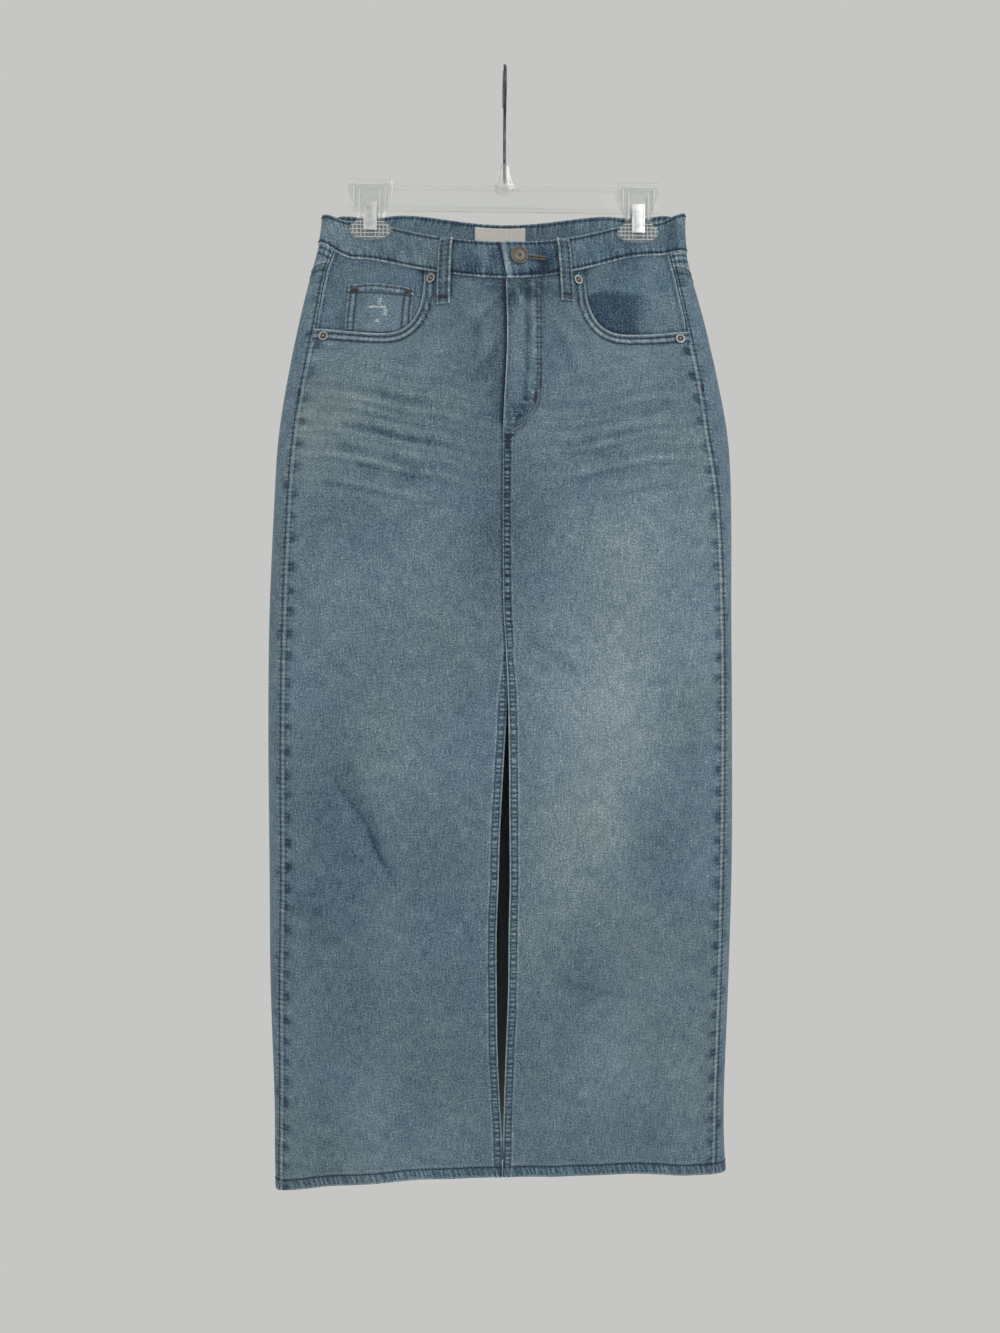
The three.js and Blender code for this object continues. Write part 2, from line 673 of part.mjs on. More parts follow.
function hangerBar() {
  const flange = 3;
  const web = 1.1;
  const d = BAR_HALF_DEPTH;
  const profile = new THREE.Shape();
  const outline = [
    [-d, BAR_TOP],
    [d, BAR_TOP],
    [d, BAR_TOP - flange],
    [web, BAR_TOP - flange - 1],
    [web, BAR_BOTTOM + flange + 1],
    [d, BAR_BOTTOM + flange],
    [d, BAR_BOTTOM],
    [-d, BAR_BOTTOM],
    [-d, BAR_BOTTOM + flange],
    [-web, BAR_BOTTOM + flange + 1],
    [-web, BAR_TOP - flange - 1],
    [-d, BAR_TOP - flange],
  ];
  profile.setFromPoints(outline.map(([y, z]) => new THREE.Vector2(y, z)));
  const bar = alongX(extruded(profile, { depth: BAR_LENGTH, bevelEnabled: false }), BAR_LENGTH);
  const bore = WIRE_RADIUS + GAP;
  const neck = turned(
    [
      [0, BAR_TOP - 4],
      [10, BAR_TOP - 4],
      [10, BAR_TOP + 0.6],
      [7.2, BAR_TOP + 5],
      [5.2, BAR_TOP + 11],
      [4.3, NECK_TOP],
      [bore, NECK_TOP],
      [bore, BAR_TOP + 3],
      [0, BAR_TOP + 3],
    ],
    20,
  );
  neck.rotateX(Math.PI / 2);
  return toGeometry(toSolid(bar).add(toSolid(neck)));
}

function hook() {
  const circleMiddle = WIRE_RADIUS - HOOK_RADIUS;
  const points = [
    new THREE.Vector3(0, 0, BAR_TOP + 3 + GAP),
    new THREE.Vector3(0, 0, -80),
    new THREE.Vector3(0, 0, -60),
    new THREE.Vector3(0, -1.5, -49),
    new THREE.Vector3(0, -6.5, -40.5),
  ];
  for (const degrees of steps(13, 225, -30)) {
    const turn = (degrees * Math.PI) / 180;
    const y = HOOK_RADIUS * Math.cos(turn);
    points.push(new THREE.Vector3(0, y, circleMiddle + HOOK_RADIUS * Math.sin(turn)));
  }
  const path = new THREE.CatmullRomCurve3(points, false, 'centripetal');
  const section = new THREE.Shape();
  const corners = steps(8).slice(0, 8);
  section.setFromPoints(
    corners.map((u) => {
      const turn = 2 * Math.PI * (u + 1 / 16);
      return new THREE.Vector2(WIRE_RADIUS * Math.cos(turn), WIRE_RADIUS * Math.sin(turn));
    }),
  );
  return extruded(section, { steps: 40, extrudePath: path });
}

// A clip's jaw: a housing that slides on the bar, a slot for the spring and the gripping pad.
const JAW = { top: -104, thickness: 3, waist: -133, padTop: -141, padBottom: -160 };
const HOUSING = { half: 21.5, corner: 2.5, shoulder: 20, shoulderDrop: 14, waistHalf: 13 };
const SLOT = { half: 8, above: 1.2, below: 2.4 };

function jaw(side) {
  const { half, corner, shoulder, shoulderDrop, waistHalf } = HOUSING;
  const shape = new THREE.Shape();
  shape.moveTo(corner - half, JAW.top);
  shape.lineTo(half - corner, JAW.top);
  shape.quadraticCurveTo(half, JAW.top, half, JAW.top - corner);
  shape.lineTo(shoulder, JAW.top - shoulderDrop);
  shape.lineTo(waistHalf, JAW.waist);
  shape.lineTo(waistHalf, JAW.padTop);
  const padMiddle = (JAW.padTop + JAW.padBottom) / 2;
  for (const degrees of steps(9, 72, -252)) {
    const turn = (degrees * Math.PI) / 180;
    const x = PAD_HALF_WIDTH * Math.sign(Math.cos(turn)) * Math.abs(Math.cos(turn)) ** 0.8;
    shape.lineTo(x, padMiddle + ((JAW.padTop - JAW.padBottom) / 2) * Math.sin(turn));
  }
  shape.lineTo(-waistHalf, JAW.padTop);
  shape.lineTo(-waistHalf, JAW.waist);
  shape.lineTo(-shoulder, JAW.top - shoulderDrop);
  shape.lineTo(-half, JAW.top - corner);
  shape.quadraticCurveTo(-half, JAW.top, corner - half, JAW.top);
  const slot = new THREE.Path();
  slot.moveTo(-SLOT.half, SPRING.top + SLOT.above);
  slot.lineTo(-SLOT.half, SPRING.top - SLOT.below);
  slot.lineTo(SLOT.half, SPRING.top - SLOT.below);
  slot.lineTo(SLOT.half, SPRING.top + SLOT.above);
  shape.holes.push(slot);
  const plate = upright(
    extruded(shape, { depth: JAW.thickness, bevelEnabled: false, curveSegments: 4 }),
  );
  const face = BAND_PROUD + HELD + GAP;
  const front = face + JAW.thickness;
  plate.translate(0, side === 'front' ? JAW.thickness - front : front, 0);
  return plate;
}

// The clip's spring: a leg over each jaw and a bridge that joins them through the slots.
const SPRING = { legTop: -124.5, top: -131.6, bottom: -151, thickness: 0.8, width: 12.6 };

function spring() {
  const inside = BAND_PROUD + HELD + GAP + JAW.thickness + GAP;
  const outside = inside + SPRING.thickness;
  const profile = new THREE.Shape();
  const outline = [
    [-outside, SPRING.bottom],
    [-outside, SPRING.legTop],
    [-inside, SPRING.legTop],
    [-inside, SPRING.top],
    [inside, SPRING.top],
    [inside, SPRING.legTop],
    [outside, SPRING.legTop],
    [outside, SPRING.bottom],
    [inside, SPRING.bottom],
    [inside, SPRING.top - SPRING.thickness],
    [-inside, SPRING.top - SPRING.thickness],
    [-inside, SPRING.bottom],
  ];
  profile.setFromPoints(outline.map(([y, z]) => new THREE.Vector2(y, z)));
  return alongX(extruded(profile, { depth: SPRING.width, bevelEnabled: false }), SPRING.width);
}

// Materials
const finish = (color, roughness, metalness, extra = {}) =>
  new THREE.MeshStandardMaterial({ color, roughness, metalness, ...extra });
const DENIM_FINISH = finish(0x637680, 0.95, 0);
const BAND_FINISH = finish(0x62707a, 0.95, 0);
const FACING_FINISH = finish(0x50616c, 0.95, 0);
const TAPE_FINISH = finish(0x3c4650, 0.9, 0.1);
const LABEL_FINISH = finish(0xb4aea9, 0.9, 0);
const BUTTON_FINISH = finish(0x80786b, 0.4, 0.9);
const RIVET_FINISH = finish(0xa9a9ad, 0.35, 0.9);
const WIRE_FINISH = finish(0x4a4a4a, 0.35, 0.9);
const SPRING_FINISH = finish(0xb9bab8, 0.25, 1);
const PLASTIC_FINISH = finish(0xd8dad8, 0.12, 0, { transparent: true, opacity: 0.45 });

const skirt = new THREE.Group();
const hanger = new THREE.Group();

function piece(group, name, geometry, material) {
  const mesh = new THREE.Mesh(geometry, material);
  mesh.name = name;
  group.add(mesh);
  return mesh;
}

for (const side of ['right', 'left']) {
  piece(skirt, `front_${side}`, frontPanel(side), DENIM_FINISH);
  piece(skirt, `back_${side}`, backPanel(side), DENIM_FINISH);
  piece(skirt, `back_yoke_${side}`, backYoke(side), DENIM_FINISH);
  piece(skirt, `waistband_${side}`, waistband(side), BAND_FINISH);
  piece(skirt, `pocket_facing_${side}`, pocketFacing(side), FACING_FINISH);
}
piece(skirt, 'coin_pocket', coinPocket(), DENIM_FINISH);
piece(skirt, 'zip', zip(), TAPE_FINISH);
for (const loop of LOOPS) piece(skirt, loop.name, beltLoop(loop), BAND_FINISH);
piece(skirt, 'label', label(), LABEL_FINISH);
const button = piece(skirt, 'button', turned(BUTTON_PROFILE, 24), BUTTON_FINISH);
setOn(button, BUTTON.x, BUTTON.z, BAND_PROUD + GAP);
for (const rivet of RIVETS) {
  const mesh = piece(skirt, rivet.name, turned(RIVET_PROFILE, 14), RIVET_FINISH);
  setOn(mesh, rivet.x, rivet.z, LAYER_GAP);
}
piece(hanger, 'hanger_bar', hangerBar(), PLASTIC_FINISH);
piece(hanger, 'hanger_hook', hook(), WIRE_FINISH);
for (const side of ['right', 'left']) {
  const clip = new THREE.Group();
  clip.position.x = sign(side) * CLIP_X;
  piece(clip, `clip_${side}_front_jaw`, jaw('front'), PLASTIC_FINISH);
  piece(clip, `clip_${side}_back_jaw`, jaw('back'), PLASTIC_FINISH);
  piece(clip, `clip_${side}_spring`, spring(), SPRING_FINISH);
  hanger.add(clip);
}

const group = new THREE.Group();
group.add(skirt, hanger);
export default group;
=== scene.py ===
# %% [markdown]
# # A long denim skirt on a clip hanger
#
# The skirt is a five-pocket jeans skirt with a slit up its front. It hangs from a clear clip
# hanger, so its waist is pinched flat in the two clips and bows out between them, and below the
# hips it falls as a soft, nearly flat tube. The CAD solids give the true size and form. Here each
# cloth piece is made again on the same form as a thin wall with a finer grid, and gets what makes
# denim look like denim: worn edges, puckered seams, whiskers, stitches and faded patches.
#
# Lengths are written in millimetres and turned to metres when a mesh is made.

import math

import bpy
import numpy as np
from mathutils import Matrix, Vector


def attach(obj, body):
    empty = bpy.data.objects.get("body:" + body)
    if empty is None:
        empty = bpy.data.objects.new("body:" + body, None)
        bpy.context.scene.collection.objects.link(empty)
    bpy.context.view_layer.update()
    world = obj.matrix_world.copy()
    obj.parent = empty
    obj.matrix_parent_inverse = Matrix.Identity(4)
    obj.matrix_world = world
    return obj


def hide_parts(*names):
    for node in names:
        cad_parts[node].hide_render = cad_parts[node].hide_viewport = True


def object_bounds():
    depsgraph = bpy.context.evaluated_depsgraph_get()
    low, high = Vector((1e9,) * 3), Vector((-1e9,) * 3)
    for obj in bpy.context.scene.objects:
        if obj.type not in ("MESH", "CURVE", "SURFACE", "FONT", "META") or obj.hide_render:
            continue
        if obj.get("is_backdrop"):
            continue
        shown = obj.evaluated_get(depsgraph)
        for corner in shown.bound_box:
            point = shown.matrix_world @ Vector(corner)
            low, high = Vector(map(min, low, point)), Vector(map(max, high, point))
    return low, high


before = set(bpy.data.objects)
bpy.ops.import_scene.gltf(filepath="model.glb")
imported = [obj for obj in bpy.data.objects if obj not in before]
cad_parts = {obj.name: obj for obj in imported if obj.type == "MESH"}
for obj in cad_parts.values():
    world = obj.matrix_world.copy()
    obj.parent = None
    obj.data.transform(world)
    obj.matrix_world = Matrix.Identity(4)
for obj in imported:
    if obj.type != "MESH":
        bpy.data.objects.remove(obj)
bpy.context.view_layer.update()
print("frame loaded with", len(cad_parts), "nodes")

# %% [markdown]
# ## Small helpers
#
# `smooth` is the soft step that shapes every crease's end. `line` is a soft line: 1 on a place
# and falling away on both sides, which is how an edge wears or a stitch pulls the cloth down.
# `ripple` is an uneven wave: three sine waves whose lengths never meet again, so nothing that
# follows it looks counted out by a machine.

# %% Numbers and colours
MM = 0.001
SIDES = ("right", "left")
SIGN = {"right": -1.0, "left": 1.0}


def mix(a, b, t):
    return a + (b - a) * t


def smooth(t):
    s = np.clip(t, 0.0, 1.0)
    return s * s * (3 - 2 * s)


def line(distance, place, width):
    return np.exp(-(((distance - place) / width) ** 2))


def ripple(t, wavelength, seed):
    w = 2 * math.pi * np.asarray(t) / wavelength
    first = np.sin(w + 1.7 * seed)
    second = np.sin(0.618 * w + 2.9 * seed)
    third = np.sin(1.443 * w + 0.8 * seed)
    return (first + 0.8 * second + 0.6 * third) / 2.4


def circle(count):
    return 2 * math.pi * np.arange(count) / count


def linear(hex_colour):
    """An sRGB colour written as hex, as the linear values that the shaders work in."""
    value = int(hex_colour.lstrip("#"), 16)
    channels = [(value >> shift & 255) / 255 for shift in (16, 8, 0)]
    turned = [c / 12.92 if c <= 0.04045 else ((c + 0.055) / 1.055) ** 2.4 for c in channels]
    return (*turned, 1.0)


print("denim mid blue in linear light:", [round(c, 3) for c in linear("#64757e")[:3]])

# %% [markdown]
# ## The form that all the cloth lies on
#
# The skirt's outside is one smooth surface, read from a table of sections: at each height, where
# the left and right edges stand, and how far the front and back reach out. A pattern cutter would
# know this as the shape of the skirt on its stand. An angle and a height name a place on it: the
# angle is 0 at the centre front and grows towards the viewer's right, round to pi at the back.
# The cloth pieces all use this one form, so their seams meet, as they do when they are sewn.

# %% Sections
# height, left edge, right edge, front reach, back reach, right side seam, left side seam
SECTIONS = np.array([
    (-125, -173.5, 174.5, 34, 27, -158, 155),
    (-149, -175.0, 174.4, 35, 29, -160, 156),
    (-168, -179.1, 176.6, 37, 32, -163, 159),
    (-192, -186.2, 182.6, 41, 38, -171, 165),
    (-234, -197.3, 195.1, 45, 44, -179, 174),
    (-291, -209.8, 208.9, 49, 48, -190, 185),
    (-348, -219.5, 219.8, 51, 50, -200, 194),
    (-406, -224.4, 223.9, 51, 51, -206, 205),
    (-523, -231.4, 226.4, 51, 50, -213, 213),
    (-643, -234.6, 229.4, 50, 48, -217, 216),
    (-765, -235.8, 231.5, 47, 46, -219, 217),
    (-889, -237.0, 230.5, 44, 43, -223, 217),
    (-1016, -235.3, 228.2, 38, 39, -226, 216),
    (-1069, -236.0, 229.5, 35, 37, -228, 216),
    (-1112, -235.9, 233.2, 33, 36, -229, 216),
], float)
LEFT, RIGHT, FRONT, BACK = 1, 2, 3, 4
SEAM = {"right": 5, "left": 6}

# The centre front: the fly's folded edge, the seam under it and the slit's two edges.
# height, the right front's edge, the left front's edge
CENTRE_FRONT = np.array([
    (-160, -1.9, -1.9),
    (-260, 0.6, 0.6),
    (-343, -3.1, -3.1),
    (-503, -3.1, -3.1),
    (-552, -0.3, -0.3),
    (-598, 1.0, 1.6),
    (-656, -2.0, 2.7),
    (-724, -5.6, 3.2),
    (-774, -6.9, 3.6),
    (-829, -8.9, 2.6),
    (-885, -8.7, 2.2),
    (-936, -8.2, 0.5),
    (-989, -6.3, -1.2),
    (-1031, -3.9, -2.2),
    (-1066, -3.0, -2.8),
    (-1112, -2.9, -2.9),
], float)
EDGE = {"right": 1, "left": 2}


def read(rows, column, z):
    """A column of a table as a smooth curve through its rows, at any heights."""
    down = -rows[:, 0]
    value = rows[:, column]
    last = len(down) - 1
    places = np.arange(last + 1)
    before = np.maximum(places - 1, 0)
    after = np.minimum(places + 1, last)
    slope = (value[after] - value[before]) / (down[after] - down[before])
    at = np.clip(-np.asarray(z, float), down[0], down[-1])
    i = np.clip(np.searchsorted(down, at, side="right") - 1, 0, last - 1)
    span = down[i + 1] - down[i]
    t = (at - down[i]) / span
    start = value[i] * (1 + 2 * t) * (1 - t) ** 2 + span * slope[i] * t * (1 - t) ** 2
    end = value[i + 1] * t * t * (3 - 2 * t) - span * slope[i + 1] * t * t * (1 - t)
    return start + end


print("hip width", round(float(read(SECTIONS, RIGHT, -300) - read(SECTIONS, LEFT, -300))), "mm")

# %% [markdown]
# ## Folds and creases
#
# The large folds are in the CAD as well. The small ones are only here. Each is a soft ridge or
# trough along a line, with its own length, depth and width, and its ends melt into the cloth.
# On the real skirt the hip whiskers come from sitting, the drag lines fan out from the clips, and
# the long slack folds hang from them. They are placed from the photo, because a simulation
# would give some skirt's folds but not this one's. The back is hidden in the photo and
# gets a few folds of the same kind.

# %% Folds
# x0, z0, x1, z1, width, height
FOLDS = {
    "front": [
        (-126, -176, -150, -400, 22, 4), (134, -172, 118, -360, 24, 4),
        (-172, -628, -104, -790, 13, -4), (-150, -640, -84, -800, 18, 3), (118, -520, 96, -860, 30, 4),
        (-124, -840, -136, -1160, 30, 4), (150, -800, 128, -1160, 32, -4),
    ],
    "back": [
        (-128, -176, -112, -420, 24, 5), (128, -174, 146, -390, 22, 5), (-70, -430, -96, -900, 34, -5),
        (96, -560, 74, -1160, 36, 5), (-150, -760, -140, -1160, 30, 5),
    ],
}

# Whiskers across the hips, drag lines under the clips, and small slack creases below.
CREASES = {
    "front": [
        (-176, -296, -66, -330, 6, -1.1), (-182, -316, -58, -352, 7, 1.0),
        (-168, -338, -40, -366, 6, -1.2), (-176, -366, -62, -388, 7, 0.9),
        (-152, -380, -36, -396, 6, -0.9), (-140, -404, -50, -412, 8, 0.8),
        (182, -300, 66, -334, 6, -1.0), (176, -326, 50, -356, 7, 1.1), (184, -352, 58, -372, 6, -1.1),
        (160, -374, 44, -390, 7, 0.8), (148, -398, 40, -404, 8, -0.8), (-113, -176, -92, -232, 7, 1.4),
        (-142, -178, -160, -236, 7, 1.3), (118, -176, 98, -238, 7, 1.4),
        (145, -174, 166, -232, 8, 1.5), (-30, -212, -26, -300, 9, 1.2), (44, -232, 40, -318, 8, -1.0),
        (-186, -640, -96, -798, 4.5, -2.2), (-118, -700, -92, -768, 7, 0.8),
        (46, -876, 150, -900, 7, -0.9), (-60, -560, -96, -700, 20, 1.4), (60, -470, 30, -640, 18, 1.3),
        (172, -600, 150, -780, 16, 1.5), (84, -700, 66, -1000, 18, -1.4),
        (-70, -860, -52, -1150, 18, 1.5), (-188, -880, -180, -1150, 16, -1.4),
        (186, -860, 180, -1150, 14, 1.4), (44, -900, 52, -1150, 14, 1.2),
    ],
    "back": [
        (-150, -300, -30, -330, 8, -1.1), (162, -306, 40, -340, 8, 1.1),
        (-120, -398, 20, -420, 9, 1.0), (30, -260, 24, -420, 10, 1.3), (-36, -250, -42, -390, 9, -1.1),
        (150, -560, 120, -820, 16, -1.6), (-20, -520, -34, -820, 20, 1.6),
        (20, -760, 34, -1150, 18, -1.5), (-60, -900, -52, -1150, 16, 1.5),
        (180, -700, 172, -1150, 16, 1.4),
    ],
}

# What the closed clips leave of the waist's depth, and the loop of cloth outside them.
CLIP_X = 128.5
HELD = 1.7
FLAT_HALF_WIDTH = 23
END_LOOP, LOOP_PEAK = 7, 2.37
HELD_ABOVE, FREE_BELOW = -165, -330
FULLNESS = 0.8


def held_depth(across, half, reach):
    inner = CLIP_X - FLAT_HALF_WIDTH
    outer = CLIP_X + FLAT_HALF_WIDTH
    turn = np.clip(np.cos(math.pi / 2 * np.minimum(across / inner, 1)), 0, 1)
    between = HELD + (reach - HELD) * turn ** 1.7
    v = np.clip((across - outer) / (half - outer), 0, 1)
    bulge = END_LOOP * LOOP_PEAK * np.sin(math.pi / 2 * v) ** 2
    beyond = (HELD + bulge) * np.sqrt(1 - v)
    return np.where(across < inner, between, beyond)


def strokes(rows, x, z, waver=0.0):
    """The sum of soft strokes, each along its own line, whose middle may waver."""
    total = np.zeros(np.shape(x))
    for x0, z0, x1, z1, width, amount in rows:
        dx = x1 - x0
        dz = z1 - z0
        length = math.hypot(dx, dz)
        along = ((x - x0) * dx + (z - z0) * dz) / length ** 2
        away = ((x - x0) * dz - (z - z0) * dx) / length
        if waver:
            away = away + waver * ripple(along * length, 90, x0)
        ends = smooth(along * 3) * smooth((1 - along) * 3)
        total += amount * ends * np.exp(-((away / width) ** 2))
    return total


def fold_lift(side, x, z):
    return strokes(FOLDS[side] + CREASES[side], x, z)


def form_x(angle, z):
    left = read(SECTIONS, LEFT, z)
    right = read(SECTIONS, RIGHT, z)
    return (left + right) / 2 + (right - left) / 2 * np.sin(angle)


def form(angle, z):
    """Points of the skirt's outer form, in millimetres."""
    angle, z = np.broadcast_arrays(np.asarray(angle, float), np.asarray(z, float))
    half = (read(SECTIONS, RIGHT, z) - read(SECTIONS, LEFT, z)) / 2
    x = form_x(angle, z)
    ahead = np.cos(angle) >= 0
    reach = np.where(ahead, read(SECTIONS, FRONT, z), read(SECTIONS, BACK, z))
    free = reach * np.abs(np.cos(angle)) ** FULLNESS
    held = held_depth(np.abs(half * np.sin(angle)), half, reach)
    freedom = smooth((HELD_ABOVE - z) / (HELD_ABOVE - FREE_BELOW))
    folds = np.where(ahead, fold_lift("front", x, z), fold_lift("back", x, z))
    depth = mix(held, free, freedom) + folds
    return np.stack([x, np.where(ahead, -depth, depth), z], axis=-1)


def form_normal(angle, z):
    around = form(angle + 0.004, z) - form(angle - 0.004, z)
    down = form(angle, z - 0.5) - form(angle, z + 0.5)
    out = np.cross(down, around)
    return out / np.linalg.norm(out, axis=-1, keepdims=True)


def lifted(angle, z, lift):
    return form(angle, z) + form_normal(angle, z) * np.asarray(lift)[..., None]


def angle_of(x, z):
    left = read(SECTIONS, LEFT, z)
    right = read(SECTIONS, RIGHT, z)
    return np.arcsin(np.clip((2 * x - left - right) / (right - left), -1, 1))


def back_angle_of(x, z):
    return math.pi - angle_of(x, z)


def seam_angle(side, z, towards_back=0.0):
    angle = np.abs(angle_of(read(SECTIONS, SEAM[side], z), z))
    run = np.linalg.norm(form(angle + 0.01, z) - form(angle, z), axis=-1) / 0.01
    return angle + towards_back / run


print(len(FOLDS["front"]), "large folds and", len(CREASES["front"]), "small creases in front")

# %% [markdown]
# ## Where the pieces end
#
# The edges below are curves on the form: the waistband dips at the centre front and climbs to the
# clips, the hem is a little higher at the slit, the back yoke slopes to the centre back, and the
# pocket openings are squared-off scoops. Each is a drawn line on a jeans pattern.

# %% Edges of the pieces
GAP = 0.3
CLOTH, DOUBLED = 1.2, 2.2
# The hem's stitch line, and the height over which the grid is fine, both from the hem's edge.
HEM_STITCH, HEM_FINE = 11.2, 14
BAND_REACH = 145
BAND_EDGE = 175
BAND_TOP_MIDDLE = -171.5
BAND_BOTTOM_MIDDLE = -205.5
# rise of the top, rise of the bottom, top at the side, bottom at the side
BAND = {"right": (29, 28.5, -136.6, -164.6), "left": (31.5, 34.5, -131, -169)}
BAND_BACK_TOP = -134
BAND_BACK_BOTTOM = -172
SCOOP_START, SCOOP_LOWEST = 77.5, 121
SCOOP_TOP, SCOOP_BOTTOM, SCOOP_SIDE = -194, -251.7, -246
SQUARENESS = 2.6
YOKE_SIDE, YOKE_MIDDLE = -180, -236
HEM_MIDDLE, HEM_BACK = -1082, -1104
HEM_SIDE = {"right": -1108, "left": -1097}
SLIT_TOP = -552
FLY_BOTTOM = -343
HIP = -278


def front_band_edge(x, edge):
    across = np.abs(x)
    curve = (1 - np.cos(math.pi * np.minimum(1, across / BAND_REACH))) / 2
    beyond = np.clip((across - BAND_REACH) / (BAND_EDGE - BAND_REACH), 0, 1) ** 1.3
    heights = []
    for side in SIDES:
        top_rise, bottom_rise, top_end, bottom_end = BAND[side]
        middle = BAND_TOP_MIDDLE if edge == "top" else BAND_BOTTOM_MIDDLE
        rise = top_rise if edge == "top" else bottom_rise
        end = top_end if edge == "top" else bottom_end
        heights.append(middle + rise * curve + (end - middle - rise) * beyond)
    return np.where(x < 0, heights[0], heights[1])


def back_band_edge(angle, edge):
    turn = np.abs(np.sin(angle))
    number = 2 if edge == "top" else 3
    side = np.where(np.sin(angle) < 0, BAND["right"][number], BAND["left"][number])
    if edge == "bottom":
        return mix(BAND_BACK_BOTTOM, side, turn ** 3)
    gripped = 3 * np.exp(-(((turn - 0.73) / 0.12) ** 2))
    return mix(BAND_BACK_TOP, side, turn ** 3) - gripped


def band_edge(angle, edge):
    angle = np.asarray(angle, float)
    z = np.full(angle.shape, float(BAND_BOTTOM_MIDDLE))
    for _ in range(6):
        z = front_band_edge(form_x(angle, z), edge)
    return np.where(np.cos(angle) < 0, back_band_edge(angle, edge), z)


def hem_edge(angle):
    side = np.where(np.sin(angle) < 0, HEM_SIDE["right"], HEM_SIDE["left"])
    middle = np.where(np.cos(angle) < 0, HEM_BACK, HEM_MIDDLE)
    return mix(middle, side, np.abs(np.sin(angle)) ** 2.5)


def yoke_edge(side, angle):
    start = seam_angle(side, YOKE_SIDE)
    along = np.clip((np.abs(angle) - start) / (math.pi - start), 0, 1)
    return mix(YOKE_SIDE, YOKE_MIDDLE, along ** 1.3)


def panel_rows(top, bottom, upper_rows, lower_rows):
    """Heights of a long panel's rows: down to the hips, down to the hem, and finely over it."""
    upper = top + (HIP - top) * np.linspace(0, 1, upper_rows)[:-1, None]
    lower = HIP + (bottom + HEM_FINE - HIP) * np.linspace(0, 1, lower_rows)[:-1, None]
    return np.concatenate([upper, lower, bottom + HEM_FINE * np.linspace(1, 0, 15)[:, None]])


def scoop_edge(across):
    out = np.clip((SCOOP_LOWEST - across) / (SCOOP_LOWEST - SCOOP_START), 0, 1)
    curve = mix(SCOOP_TOP, SCOOP_BOTTOM, (1 - out ** SQUARENESS) ** (1 / SQUARENESS))
    rise = mix(SCOOP_BOTTOM, SCOOP_SIDE, smooth((across - SCOOP_LOWEST) / 60))
    return np.where(across >= SCOOP_LOWEST, rise, curve)


def within(distance, start, end, soft=1.2):
    """1 on a strip along an edge, between two distances from it, and 0 beyond."""
    return smooth((distance - start) / soft) * (1 - smooth((distance - end) / soft))


def scoop_corner(turns):
    """The scoop's rounded corner, by angles from its upright end to its lowest point."""
    x = mix(SCOOP_LOWEST, SCOOP_START, np.cos(turns).clip(0) ** (2 / SQUARENESS))
    return x, mix(SCOOP_TOP, SCOOP_BOTTOM, np.sin(turns) ** (2 / SQUARENESS))


def length_along(x, z):
    """The distance along a drawn line to each of its places."""
    return np.concatenate([[0], np.cumsum(np.hypot(np.diff(x), np.diff(z)))])


def centre_angle(side, z, away):
    """The angle of a front's own centre edge, moved away from the centre by a distance."""
    return angle_of(read(CENTRE_FRONT, EDGE[side], z) + SIGN[side] * away, z)


print("waistband depth at the centre", BAND_TOP_MIDDLE - BAND_BOTTOM_MIDDLE, "mm")

# %% [markdown]
# ## Denim
#
# Denim is a twill of blue warp over white weft. The blue sits on the outside of each thread, so
# wear takes it off wherever the cloth stands proud, and leaves it in the troughs and under
# the layers of a seam. The material follows that. One value, the blue that is left, runs through
# a ramp from raw indigo over washed mid blue to bare weft. The mesh carries where the cloth is
# faded, worn, deep in blue or stained, and also painted light and shade: fold crests painted
# paler than their troughs, dark crease lines, and painted shadows under laps, belt loops, the
# waistband and the pocket scoops. The nodes add what is finer than the mesh: the slubs of the
# warp, the fine grain, the cloudy wash and the puckers that the stitches draw up.
#
# A real twill line is 0.7 mm apart, finer than this picture can hold, so it is drawn at 1.7 mm.

# %% Node helpers


class Value:
    """What a node gives, so that a sum of nodes can be written as plain arithmetic."""

    def __init__(self, surface, socket):
        self.surface = surface
        self.socket = socket

    def maths(self, operation, other=0.0):
        return self.surface.value("Math", 0, {"operation": operation}, _0=self, _1=other)

    def __add__(self, other):
        return self.maths("ADD", other)

    def __sub__(self, other):
        return self.maths("SUBTRACT", other)

    def __mul__(self, other):
        return self.maths("MULTIPLY", other)


